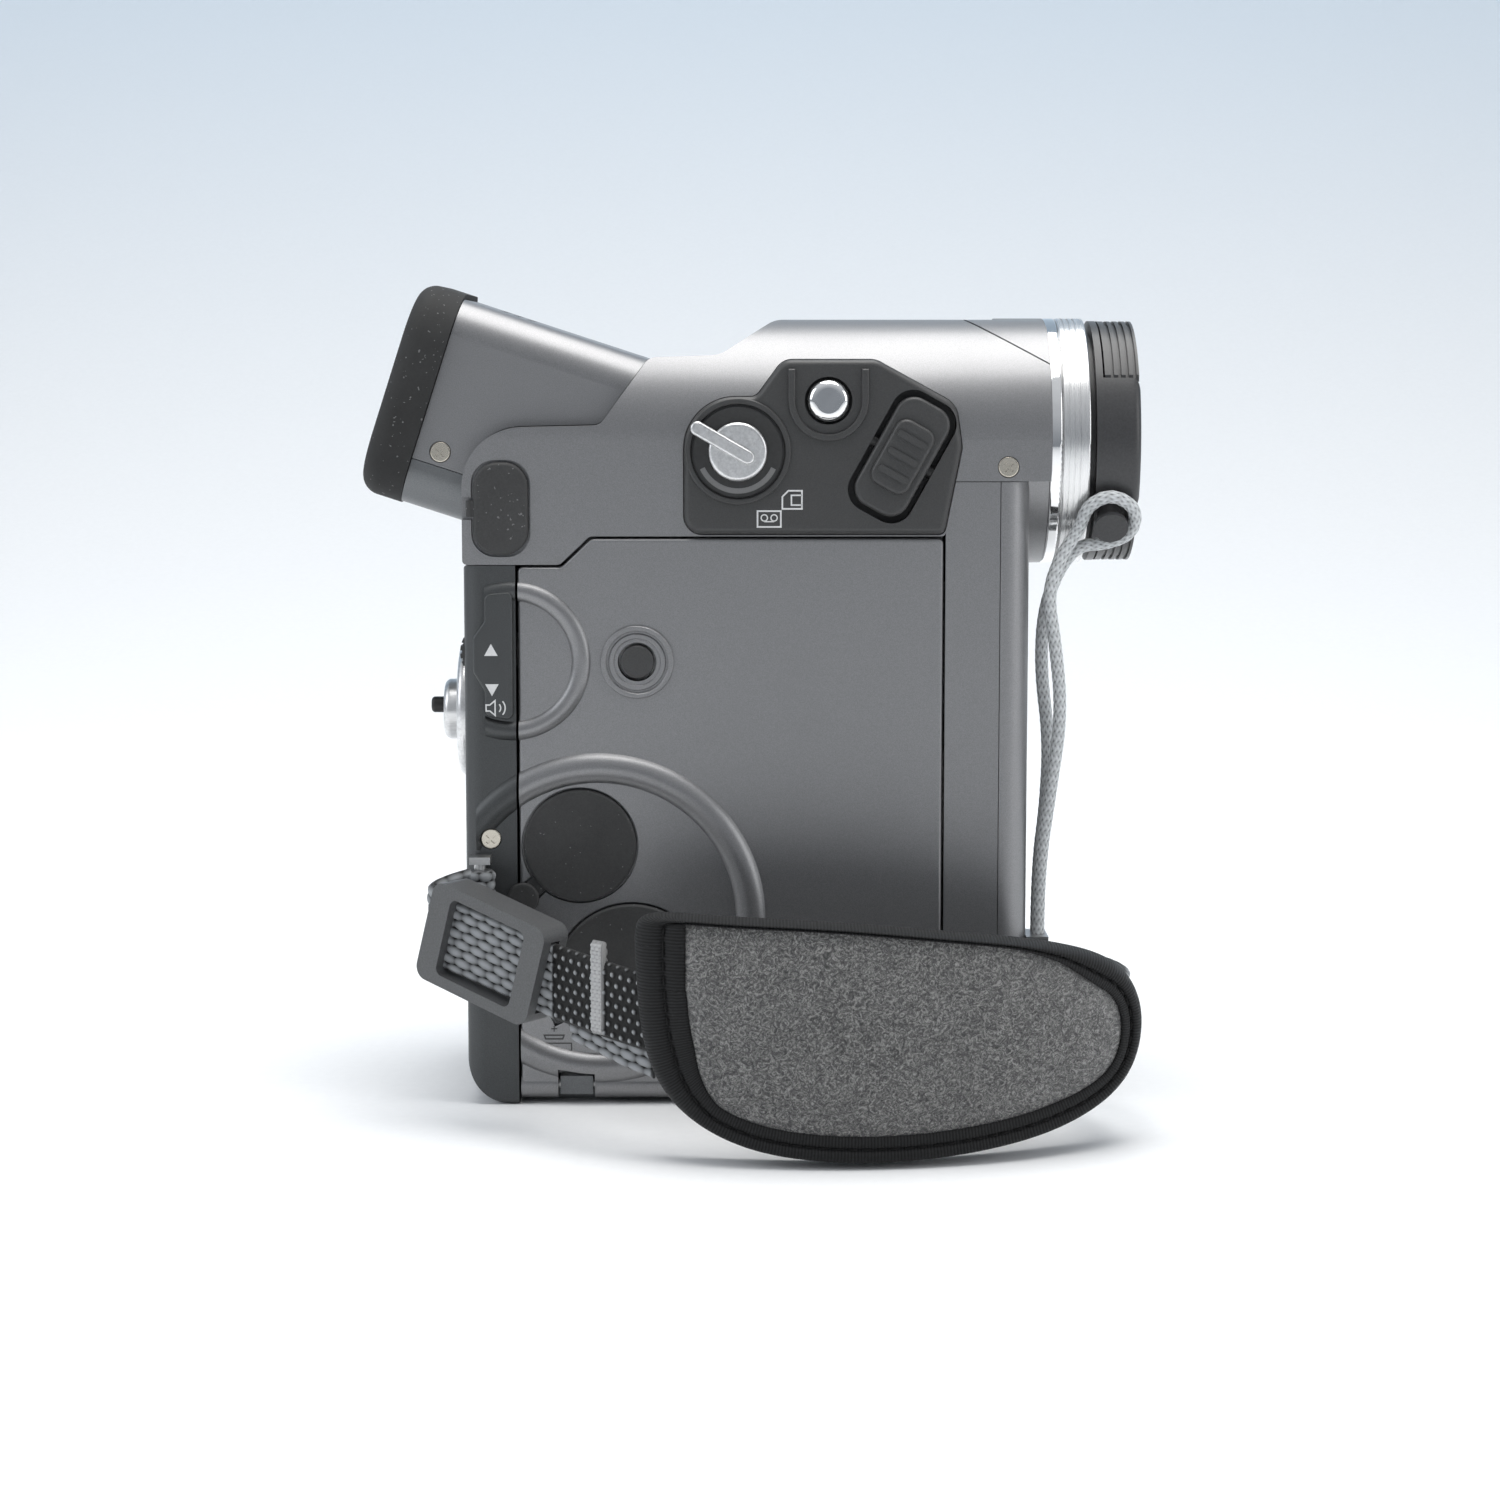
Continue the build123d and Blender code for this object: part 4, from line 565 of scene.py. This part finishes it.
# %% Paint plan
PAINT_PLAN = (
    (silver_paint, ("upper_housing", "viewfinder_housing", "cassette_cover", "front_side_strip",
                    "lcd_shell", "left_cover", "front_cover")),
    (dark_silver_paint, ("viewfinder_base", "bottom_cover")),
    (trim_paint, ("rear_cover", "battery_door")),
    (panel_plastic, ("control_panel", "zoom_rocker", "audio_level_button", "set_wheel",
                     "dioptre_lever", "menu_button_1", "menu_button_2")),
    (buckle_plastic, ("strap_buckle",)),
    (cover_rubber, ("mic_cover", "s_video_cover", "av_cover")),
    (eyecup_rubber, ("eyecup",)),
    (cap_plastic, ("lens_cap_body", "lens_cap_tab_upper", "lens_cap_tab_lower")),
    (black_plastic, ("tape_cassette", "reel_drive_lower", "reel_drive_upper", "lens_barrel",
                     "battery_pack", "mic_jack")),
    (chrome, ("chrome_trim_ring", "photo_button")),
    (ring_silver, ("lens_front_ring",)),
    (knob_silver, ("start_stop_ring", "lcd_hinge_block")),
    (dial_finish, ("mode_dial",)),
    (button_finish, ("start_stop_button",)),
    (nickel, ("casing_screws",)),
    (pressed_steel, ("cassette_hinge_pin", "lcd_hinge_pin", "cassette_carriage", "chassis_frame",
                     "rear_strap_lug", "front_strap_lug", "tripod_socket", "head_drum")),
    (board_green, ("jack_board", "main_circuit_board")),
    (lens_glass, ("front_lens_element", "eyepiece_lens")),
    (screen_glass, ("lcd_screen",)),
)
for material, names in PAINT_PLAN:
    for name in names:
        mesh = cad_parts[name].data
        mesh.materials.clear()
        mesh.materials.append(material)
print(sum(len(names) for _, names in PAINT_PLAN), "solids dressed")

# %% [markdown]
# ## The hand pad
# The pad is a crowned cushion of suede over foam, bent round the back of the hand. I describe
# it flat first, as it shows from the side: a line round it, and rings that shrink towards its
# middle. Then every point is laid on a big cylinder, which gives the bend. `out` is how far a
# point stands off the middle layer of the foam, away from the camcorder.

# %% Pad outline and bend
BEND_X, BEND_Y, BEND_RADIUS = 9.7, 6.3, 59.75
PAD_EDGE = [
    (-14.4, 24.0), (-14.6, 28.0), (-14.5, 31.0), (-10.8, 31.5), (-4.0, 31.2), (10.0, 30.9),
    (22.0, 29.6), (34.0, 28.0), (43.0, 26.0), (49.2, 22.4), (51.4, 16.0), (49.6, 8.6),
    (43.0, 4.3), (34.0, 1.8), (20.0, 0.4), (8.0, 0.6), (-2.0, 2.2), (-10.2, 7.0), (-13.8, 14.0),
]


def closed_line(corners, count):
    """Smooth closed line: a uniform cubic B-spline round the corners."""
    points, size = [], len(corners)
    for step in range(count):
        place = step * size / count
        index, t = int(place), place % 1
        weights = ((1 - t) ** 3 / 6, (3 * t**3 - 6 * t**2 + 4) / 6,
                   (-3 * t**3 + 3 * t**2 + 3 * t + 1) / 6, t**3 / 6)
        near = [corners[(index + shift) % size] for shift in range(4)]
        points.append(tuple(sum(w * p[axis] for w, p in zip(weights, near)) for axis in (0, 1)))
    return points


def bent(x, z, out):
    """A point of the flat pad, laid round the hand."""
    radius = BEND_RADIUS + out
    return (x, BEND_Y - sqrt(radius**2 - (x - BEND_X) ** 2), z)


EDGE_STEPS = 480
edge = closed_line(PAD_EDGE, EDGE_STEPS)


def inward(points):
    """Unit directions that point from a closed line to its inside."""
    area = sum(a[0] * b[1] - b[0] * a[1] for a, b in zip(points, points[1:] + points[:1]))
    turn = 1 if area > 0 else -1
    ways = []
    for index in range(len(points)):
        before, after = points[index - 3], points[(index + 3) % len(points)]
        dx, dz = after[0] - before[0], after[1] - before[1]
        size = hypot(dx, dz)
        ways.append((-dz / size * turn, dx / size * turn))
    return ways


edge_in = inward(edge)
print("pad outline of", EDGE_STEPS, "points")


# %% [markdown]
# The binding is widest at the left end, where a second row of tape is sewn on, narrow along the
# top, and of middle width round the bottom. So its width is a smooth function of the place.

# %% Widths round the pad
def tape_width(x, z):
    top = max(0.0, min(1.0, (z - 24.0) / 4.0))
    left = max(0.0, min(1.0, (-6.0 - x) / 7.0)) * (1 - top)
    right = max(0.0, min(1.0, (x - 40.0) / 8.0))
    return 3.6 + 2.7 * left - 2.9 * top * (1 - right) - 0.5 * right


def evened(widths):
    """Each width as the mean of itself and its two neighbours."""
    following = widths[1:] + widths[:1]
    return [(widths[index - 1] + widths[index] + following[index]) / 3 for index in range(len(widths))]


edge_width = [tape_width(x, z) for x, z in edge]
for _ in range(12):
    edge_width = evened(edge_width)


# The left end is one upright band as high as the pad: there the inner edge of the tape is
# a straight line, and the corner is mitred onto its upper end.
BAND_EDGE_X, BAND_TOP, BAND_LOW = -8.1, 30.4, 22.0


def inner_end(index):
    """Where the tape ends on the suede side."""
    (x, z), (dx, dz), wide = edge[index], edge_in[index], edge_width[index]
    if z > BAND_LOW and x < BAND_EDGE_X:
        return BAND_EDGE_X, min(z, BAND_TOP)
    return x + dx * wide, z + dz * wide


inner_edge = [inner_end(index) for index in range(EDGE_STEPS)]
edge_width = [hypot(b[0] - a[0], b[1] - a[1]) for a, b in zip(edge, inner_edge)]


def inset(index, distance):
    """A place this far from the rim towards the inner edge of the tape."""
    share = distance / edge_width[index]
    (x, z), (x_in, z_in) = edge[index], inner_edge[index]
    return x + (x_in - x) * share, z + (z_in - z) * share


print("tape from", round(min(edge_width), 1), "to", round(max(edge_width), 1), "mm wide")

# %% Suede cushion
CORE_START, CORE_END, CORE_Z = -2.0, 40.0, 15.5
SUEDE_RIM, SUEDE_SWELL, LINING_RIM, LINING_SWELL = 2.4, 1.5, 2.3, 0.4
UNDER_TAPE, PAD_RINGS = 0.5, 46


def middle_line(x):
    """The nearest place on the middle line of the pad, which the rings shrink to."""
    return max(CORE_START, min(CORE_END, x)), CORE_Z


def pad_shell():
    """Outer suede face and inner lining as one closed skin, ring by ring."""
    points, uv = [], []
    for side in (1, -1):
        for ring in range(PAD_RINGS):
            share = ring / (PAD_RINGS - 1)
            for index in range(EDGE_STEPS):
                x0, z0 = inset(index, edge_width[index] - UNDER_TAPE)
                x_middle, z_middle = middle_line(x0)
                x, z = x0 + (x_middle - x0) * share, z0 + (z_middle - z0) * share
                swell = 1 - (1 - share) ** 3
                suede_out = SUEDE_RIM + SUEDE_SWELL * swell
                lining_out = -(LINING_RIM + LINING_SWELL * swell)
                points.append(bent(x, z, suede_out if side > 0 else lining_out))
                uv.append((x, z))
    count = EDGE_STEPS
    outer = skin(PAD_RINGS, count, close_columns=True)
    lining = PAD_RINGS * count
    inner = [tuple(v + lining for v in face) for face in outer]
    rim = [(i, (i + 1) % count, (i + 1) % count + lining, i + lining) for i in range(count)]
    return points, outer + inner + rim, uv, len(outer)


points, faces, uv, outer_faces = pad_shell()
hand_pad = new_piece("hand_pad", points, faces, "root", uv=uv)
for material in (suede, lining_mesh):
    hand_pad.data.materials.append(material)
for face in hand_pad.data.polygons:
    face.material_index = 0 if face.index < outer_faces else 1
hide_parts("strap_pad")
print("hand pad with", len(hand_pad.data.polygons), "faces")

# %% [markdown]
# The edge of the pad is bound with black elastic tape: a roll round the rim, a sewn groove, and
# a flat strip that laps over the suede. One profile is swept round the line, with the groove
# and the lap placed as shares of the local width.

# %% Binding
BINDING_PROFILE = (
    # share of the width from the rim, height off the middle layer
    (1.02, 2.35), (1.00, 2.95), (0.94, 3.15), (0.84, 3.22), (0.72, 3.18), (0.64, 3.02), (0.59, 2.66),
    (0.55, 2.62), (0.50, 2.98), (0.42, 3.26), (0.30, 3.30), (0.18, 3.10), (0.08, 2.55), (0.02, 1.65),
    (0.00, 0.60), (0.00, -0.50), (0.03, -1.60), (0.10, -2.35), (0.22, -2.80), (0.40, -2.90),
    (0.60, -2.85), (0.85, -2.75), (1.00, -2.60), (1.02, -2.20),
)


def binding_ring():
    points, uv = [], []
    walked = 0.0
    for index in range(EDGE_STEPS):
        for share, out in BINDING_PROFILE:
            wide = share * edge_width[index]
            x, z = inset(index, wide)
            points.append(bent(x, z, out))
            uv.append((walked, wide))
        ahead = edge[(index + 1) % EDGE_STEPS]
        walked += hypot(ahead[0] - edge[index][0], ahead[1] - edge[index][1])
    return points, skin(EDGE_STEPS, len(BINDING_PROFILE), close_rows=True, close_columns=True), uv


points, faces, uv = binding_ring()
pad_binding = new_piece("pad_binding", points, faces, "root", uv=uv)
pad_binding.data.materials.append(binding_tape)
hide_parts("strap_pad_binding")
print("binding with", len(faces), "faces")


# %% Stitches in the groove
GROOVE_SHARE, GROOVE_HEIGHT = 0.57, 2.84


def stitch_row(name, spacing=1.75, long=1.25, thick=0.17):
    """A row of thread stitches, each a small swollen spindle that lies in the groove."""
    rings, sides = 7, 8
    points, faces = [], []
    walked, next_at = 0.0, 0.0
    for index in range(EDGE_STEPS):
        ahead = (index + 1) % EDGE_STEPS
        here = inset(index, GROOVE_SHARE * edge_width[index])
        there = inset(ahead, GROOVE_SHARE * edge_width[ahead])
        walked += hypot(there[0] - here[0], there[1] - here[1])
        if walked < next_at:
            continue
        next_at += spacing
        along = Vector((there[0] - here[0], 0, there[1] - here[1])).normalized()
        across = Vector((along.z, 0, -along.x))
        middle = Vector(bent(*here, GROOVE_HEIGHT))
        start = len(points)
        for ring in range(rings):
            t = ring / (rings - 1) * 2 - 1
            radius = thick * sqrt(max(0.05, 1 - t * t))
            for step in range(sides):
                angle = 2 * pi * step / sides
                outward = Vector((0, -radius * sin(angle), 0))
                points.append(middle + along * (t * long / 2) + across * (radius * cos(angle)) + outward)
        spindle = skin(rings, sides, close_columns=True) + end_caps(sides, rings * sides)
        faces += [tuple(start + v for v in face) for face in spindle]
    return new_piece(name, points, faces, "root")


pad_stitches = stitch_row("pad_stitches")
pad_stitches.data.materials.append(binding_tape)
pad_stitches.parent = pad_binding
print("stitches:", len(pad_stitches.data.vertices) // 56)

# %% [markdown]
# ## Webbing
# Nylon webbing shows rows of plump yarn crossings, like bricks. The band below is a closed
# grid: it runs along a line, and its relief comes from a pattern of overlapping ovals that is
# half a step shifted in every other row. The other side of the same webbing is dark, with
# only small pale dots, so the pattern is a parameter.

# %% Woven band
WEAVE_STEP = 0.16


def ovals(along, across, pitch=2.6, row=1.25):
    """Height of brick-laid oval crossings, 0 to 1."""
    number = int(across // row)
    shift = 0.5 * pitch * (number % 2)
    a = ((along + shift) / pitch) % 1.0 - 0.5
    b = (across / row) % 1.0 - 0.5
    return max(0.0, 1 - (a / 0.60) ** 2 - (b / 0.58) ** 2) ** 0.5


def dots(along, across, pitch=1.45, row=1.3):
    """Height of small dots in a staggered grid, 0 to 1."""
    number = int(across // row)
    shift = 0.5 * pitch * (number % 2)
    a = ((along + shift) / pitch) % 1.0 - 0.5
    b = (across / row) % 1.0 - 0.5
    return max(0.0, 1 - (a / 0.25) ** 2 - (b / 0.3) ** 2) ** 0.5


def woven_band(name, control, width, thick, weave, material, relief=0.42):
    """Webbing along a line in plan, its width upright."""
    line = smooth_line(control, name + "_line", WEAVE_STEP)
    columns = 84
    points, heights, uv = [], [], []
    for index, point in enumerate(line):
        ahead = line[min(index + 1, len(line) - 1)] - line[max(index - 1, 0)]
        flat = Vector((ahead.x, ahead.y, 0)).normalized()
        outward = Vector((flat.y, -flat.x, 0))
        along = index * WEAVE_STEP
        for side, pattern in ((1, weave), (-1, ovals)):
            for column in range(columns):
                share = column / (columns - 1)
                across = (share - 0.5) * width * side
                selvedge = max(0.0, 1 - abs(share - 0.5) * 2)
                round_off = min(1.0, selvedge * 9) ** 0.5
                height = pattern(along, across + width)
                lift = (thick / 2 - relief * 0.6) * round_off + relief * height * round_off
                points.append(point + outward * (lift * side) + Vector((0, 0, across)))
                heights.append(height * (0.35 + 0.65 * round_off))
                uv.append((along, across))
    faces = skin(len(line), 2 * columns, close_columns=True) + end_caps(2 * columns, len(points))
    band = new_piece(name, points, faces, "root", uv=uv)
    keep_relief(band, heights)
    band.data.materials.append(material)
    print(name, round(line_length(line), 1), "mm of webbing")
    return band


# %% Webbing through the buckle
WEB_WIDTH, WEB_THICK = 10.0, 1.5
BUCKLE_END = (-25.2, -38.2, 20.6)
rear_web = woven_band(
    "rear_webbing",
    [(-37.6, -21.9, 27.9), (-41.0, -24.0, 27.3), (-42.7, -27.2, 26.2), (-34.0, -32.4, 23.6), BUCKLE_END],
    WEB_WIDTH, WEB_THICK, ovals, web_yarn)
woven_band(
    "pad_webbing", [BUCKLE_END, (-21.4, -41.6, 19.9), (-17.0, -45.6, 19.2), (-12.0, -49.4, 18.4)],
    WEB_WIDTH, WEB_THICK, dots, dotted_yarn)
woven_band(
    "under_webbing",
    [(-22.8, -38.6, 17.8), (-18.5, -42.6, 16.6), (-15.5, -45.4, 15.6), (-12.2, -47.6, 14.8)],
    WEB_WIDTH, 1.2, ovals, web_yarn)
woven_band(
    "webbing_fold", [(-20.0, -43.4, 20.9), (-19.3, -44.1, 20.9), (-18.6, -44.8, 20.9)],
    12.2, 0.9, lambda a, b: 0.6 + 0.4 * ovals(a, b, 0.8, 0.5), pale_yarn)
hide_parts("strap_webbing")

# %% [markdown]
# At the front the webbing leaves the pad, turns back round its upright bar and is sewn down.

# %% Front webbing
FRONT_WEB_Z = 16.5
front_path = ((47.6, -38.6), (49.6, -33.6), (47.6, -24.5), (42.6, -18.3), (41.2, -16.2))
front_web = woven_band("front_band", [(x, y, FRONT_WEB_Z) for x, y in front_path],
                       WEB_WIDTH, WEB_THICK, ovals, web_yarn)
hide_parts("front_webbing")


# %% [markdown]
# A tab of black leather backs the front end of the pad. It lies against the lining, so it takes
# the same bend.

# %% Front tab
TAB_EDGE = [(40.0, 15.0), (40.4, 21.0), (42.6, 23.4), (45.1, 24.3),
            (48.2, 22.4), (50.0, 20.2), (50.2, 17.5), (46.0, 13.5)]
TAB_STEPS = 160


def bent_tab(name, near, far, crown=0.35):
    """A sheet between two heights off the middle layer, its rim rounded by `crown`."""
    line = closed_line(TAB_EDGE, TAB_STEPS)
    ways = inward(line)
    profile = ((2.2, near), (crown, near), (0.1, near - crown * 0.4), (0.0, (near + far) / 2),
               (0.1, far + crown * 0.4), (crown, far), (2.2, far))
    points = []
    for reach, out in profile:
        for (x, z), (dx, dz) in zip(line, ways):
            points.append(bent(x + dx * reach, z + dz * reach, out))
    faces = skin(len(profile), TAB_STEPS, close_columns=True) + end_caps(TAB_STEPS, len(points))
    tab = new_piece(name, points, faces, "root")
    tab.data.materials.append(tab_leather)


bent_tab("front_tab", -2.9, -4.3)
print("front tab behind the pad")

# %% [markdown]
# The webbing wraps the upright bars at both ends. A wrap is a short woven sleeve round the bar.

# %% Sleeves round the bars
def woven_sleeve(name, x, y, low, material, radius=2.1):
    """A sleeve as high as the webbing is wide, round an upright bar."""
    rows, columns = round(WEB_WIDTH / WEAVE_STEP), 96
    ovals_round, first_row = 6, 50
    points, heights = [], []
    for row in range(rows + 1):
        up = WEB_WIDTH * row / rows
        end = min(1.0, min(up, WEB_WIDTH - up) / 0.5)
        for column in range(columns):
            angle = 2 * pi * column / columns
            height = ovals(angle * radius, low + up + first_row, 2 * pi * radius / ovals_round)
            size = radius - 0.5 + (0.14 + 0.36 * height) * end**0.5
            points.append((x + size * cos(angle), y + size * sin(angle), low + up))
            heights.append(height)
    faces = skin(rows + 1, columns, close_columns=True) + end_caps(columns, len(points))
    sleeve = new_piece(name, points, faces, "root")
    keep_relief(sleeve, heights)
    sleeve.data.materials.append(material)


woven_sleeve("rear_sleeve", -36.2, -21.2, 22.6, web_yarn)
woven_sleeve("front_sleeve", 39.4, -16.0, 11.5, web_yarn)
print("two sleeves")

# %% [markdown]
# ## Marks on the casing
# A mark is a flat ribbon along a few points. Everything that is printed or moulded as a thin
# line uses one helper that widens a line by half its stroke to each side, and gives it a
# little thickness.

# %% Ribbons
def ribbon(line, stroke, y, closed=False, thick=0.05):
    """Points and faces of a flat stroke on the right-hand side, at depth y."""
    count = len(line)
    points = []
    for index, (x, z) in enumerate(line):
        before = line[index - 1] if closed or index else line[index]
        after = line[(index + 1) % count] if closed or index < count - 1 else line[index]
        into = Vector((x - before[0], z - before[1]))
        out = Vector((after[0] - x, after[1] - z))
        into = into.normalized() if into.length > 1e-9 else out.normalized()
        out = out.normalized() if out.length > 1e-9 else into
        normal = Vector((-(into.y + out.y), into.x + out.x))
        normal = normal.normalized() if normal.length > 1e-6 else Vector((-out.y, out.x))
        half = stroke / 2 / max(0.4, normal.dot(Vector((-out.y, out.x))))
        for side, depth in ((half, 0), (half, -thick), (-half, -thick), (-half, 0)):
            points.append((x + normal.x * side, y + depth, z + normal.y * side))
    faces = skin(count, 4, close_rows=closed, close_columns=True)
    if not closed:
        faces += [(3, 2, 1, 0), tuple(4 * count - 4 + i for i in range(4))]
    return points, faces


def filled(line, y, thick):
    """Points and faces of a solid shape inside a line."""
    count = len(line)
    points = [(x, y, z) for x, z in line] + [(x, y - thick, z) for x, z in line]
    faces = [(i, (i + 1) % count, (i + 1) % count + count, i + count) for i in range(count)]
    return points, faces + end_caps(count, 2 * count)


def marks(name, strokes, y, material, body, thick=0.05):
    """Strokes as one printed piece: each is (points, stroke width, closed), width 0 fills it."""
    points, faces = [], []
    for line, stroke, closed in strokes:
        more, sides = ribbon(line, stroke, y, closed, thick) if stroke else filled(line, y, thick)
        faces += [tuple(v + len(points) for v in face) for face in sides]
        points += more
    piece = new_piece(name, points, faces, body, smooth=False)
    piece.data.materials.append(material)
    return piece


def arc(x, z, radius, start, end, steps=24):
    return [(x + radius * cos(radians(start + (end - start) * i / steps)),
             z + radius * sin(radians(start + (end - start) * i / steps))) for i in range(steps + 1)]


def ring_line(x, z, radius, steps=32):
    return arc(x, z, radius, 0, 360 - 360 / steps, steps - 1)


PANEL_FACE, LABEL_FACE, DOOR_FACE, DIAL_FACE = -19.8, -19.9, -19.0, -20.72
DIAL_X, DIAL_Z = -1.6, 88.5
SPEAKER_X, SPEAKER_Z = -34.1, 54.3
marks("cassette_mark", [
    ([(1.0, 78.5), (4.1, 78.5), (4.1, 80.6), (1.0, 80.6)], 0.22, True),
    (ring_line(1.9, 79.7, 0.42), 0.16, True), (ring_line(3.2, 79.7, 0.42), 0.16, True),
    ([(1.9, 79.2), (3.2, 79.2)], 0.16, False)], PANEL_FACE, white_ink, "root")
marks("card_mark", [
    ([(4.3, 80.9), (6.9, 80.9), (6.9, 83.3), (5.1, 83.3), (4.3, 82.5)], 0.22, True),
    ([(6.9, 81.4), (5.5, 81.4), (5.5, 82.7), (6.9, 82.7)], 0.20, False)], PANEL_FACE, white_ink, "root")
marks("menu_marks", [
    ([(-35.5, 61.3), (-33.7, 61.3), (-34.6, 62.9)], 0, True),
    ([(-35.4, 57.5), (-33.6, 57.5), (-34.5, 55.9)], 0, True),
    ([(-35.3, 53.9), (-34.8, 53.9), (SPEAKER_X, 53.3), (SPEAKER_X, 55.3), (-34.8, 54.7), (-35.3, 54.7)],
     0.18, True),
    (arc(SPEAKER_X, SPEAKER_Z, 0.75, -42, 42, 8), 0.18, False),
    (arc(SPEAKER_X, SPEAKER_Z, 1.35, -42, 42, 8), 0.18, False)], LABEL_FACE, white_ink, "root")
marks("coin_cell_mark", [
    ([(-28.8, 7.5), (-24.2, 7.5), (-24.2, 8.5), (-28.8, 8.5)], 0.16, True),
    ([(-27.7, 9.1), (-25.4, 9.1), (-25.2, 9.6), (-27.9, 9.6)], 0.20, True),
    ([(-26.55, 10.1), (-26.55, 10.9)], 0.16, False), ([(-26.95, 10.5), (-26.15, 10.5)], 0.16, False)],
    DOOR_FACE, dark_ink, "cassette_door")
marks("dial_arc", [(arc(DIAL_X, DIAL_Z, 5.2, 205, 335), 0.7, False)],
      DIAL_FACE, grey_ink, "mode_dial", thick=0.03)
print("marks printed")

# %% [markdown]
# ## Small fixing
# The smaller jack cover hangs on a soft strap that ends in a disc pressed into the casing. The
# disc is a turned shape: a profile spun round an axis that points out of the casing.

# %% Turned disc
FIXING_PROFILE = ((2.15, 0.0), (2.15, 0.32), (2.02, 0.45), (1.85, 0.50),
                  (1.5, 0.46), (0.8, 0.44), (0.2, 0.44))


def turned_disc(name, x, y, z, profile, body, material, steps=48):
    """Profile of (radius, height out of the casing) spun round an axis along Y."""
    points = []
    for radius, height in profile:
        for step in range(steps):
            angle = 2 * pi * step / steps
            points.append((x + radius * cos(angle), y - height, z + radius * sin(angle)))
    faces = skin(len(profile), steps, close_columns=True) + end_caps(steps, len(points))
    disc = new_piece(name, points, faces, body)
    disc.data.materials.append(material)


turned_disc("s_cover_fixing", -30.6, DOOR_FACE, 28.4, FIXING_PROFILE, "cassette_door", cover_rubber)
print("one fixing")

# %% [markdown]
# ## Floor, walls and light
# A pale sweep: the floor curves up into the back wall far behind, so there is no horizon. The
# light is a very large soft box overhead and two softer ones from the sides. The surroundings
# are bright above and dimmer in front, because metallic paint shows mostly what stands before it.

# %% Sweep
FLOOR_NEAR, CURVE_START, SWEEP_RADIUS, WALL_TOP, HALF_WIDTH = -1200, 350, 900, 3000, 3000
FLOOR_TONES = (0.3, (0.88, 0.885, 0.89, 1)), (0.7, (0.90, 0.905, 0.91, 1))
WALL_TONE, WALL_FROM = (0.70, 0.83, 0.95, 1), 420.0


def pale_sweep():
    profile = [(FLOOR_NEAR, 0.0), (CURVE_START, 0.0)]
    for angle in range(5, 91, 5):
        bend = radians(angle)
        profile.append((CURVE_START + SWEEP_RADIUS * sin(bend), SWEEP_RADIUS * (1 - cos(bend))))
    profile.append((CURVE_START + SWEEP_RADIUS, WALL_TOP))
    points = [(side * HALF_WIDTH, y, z) for y, z in profile for side in (-1, 1)]
    sweep = new_piece("sweep", points, skin(len(profile), 2), "root")
    sweep.parent = None
    card = Finish("pale_card")
    fibre = card.noise(1.5, 3.0)
    up = card.node("ShaderNodeSeparateXYZ", {}, {0: card.place()}, "Z")
    rise = card.node("ShaderNodeMapRange", {"interpolation_type": "SMOOTHSTEP"},
                     {"Value": up, "From Max": WALL_FROM})
    colour = card.mixed(rise, card.ramp(fibre, *FLOOR_TONES), WALL_TONE)
    sweep.data.materials.append(card.set(Base_Color=colour, Roughness=0.8 + 0.1 * fibre))


pale_sweep()
print("sweep laid")


# %% Soft boxes
def soft_box(name, place, wide, high, power, colour):
    """A rectangular lamp that faces the middle of the camcorder."""
    data = bpy.data.lights.new(name, "AREA")
    data.shape = "RECTANGLE"
    data.size, data.size_y = wide, high
    data.energy = power
    data.color = colour
    lamp = bpy.data.objects.new(name, data)
    lamp.location = place
    lamp.rotation_euler = (MIDDLE - Vector(place)).to_track_quat("-Z", "Y").to_euler()
    bpy.context.scene.collection.objects.link(lamp)


MIDDLE = Vector((0, 0, 0.06))
soft_box("overhead", (0.05, 0.02, 0.75), 0.7, 0.55, 5.6, (1.0, 0.99, 0.97))
soft_box("left_window", (-0.8, -0.25, 0.45), 0.5, 0.6, 2.2, (0.93, 0.96, 1.0))
soft_box("right_fill", (0.8, -0.3, 0.30), 0.4, 0.5, 1.4, (1.0, 1.0, 1.0))
print("three soft boxes")

# %% Surroundings
BELOW, ABOVE, STRENGTH = (0.30, 0.33, 0.37, 1), (0.93, 0.96, 1.0, 1), 0.68
world = bpy.data.worlds.new("studio")
bpy.context.scene.world = world
world.use_nodes = True
nodes, links = world.node_tree.nodes, world.node_tree.links
direction = nodes.new("ShaderNodeTexCoord")
split = nodes.new("ShaderNodeSeparateXYZ")
height = nodes.new("ShaderNodeMapRange")
height.inputs["From Min"].default_value = -0.1
height.inputs["From Max"].default_value = 0.8
tint = nodes.new("ShaderNodeMix")
tint.data_type = "RGBA"
tint.inputs[6].default_value = BELOW
tint.inputs[7].default_value = ABOVE
links.new(direction.outputs["Generated"], split.inputs[0])
links.new(split.outputs["Z"], height.inputs["Value"])
links.new(height.outputs[0], tint.inputs[0])
links.new(tint.outputs[2], nodes["Background"].inputs["Color"])
nodes["Background"].inputs["Strength"].default_value = STRENGTH
bpy.context.scene.view_settings.view_transform = "Standard"
print("surroundings lit")

# %% [markdown]
# ## Last step

# %% End
print("scene built")
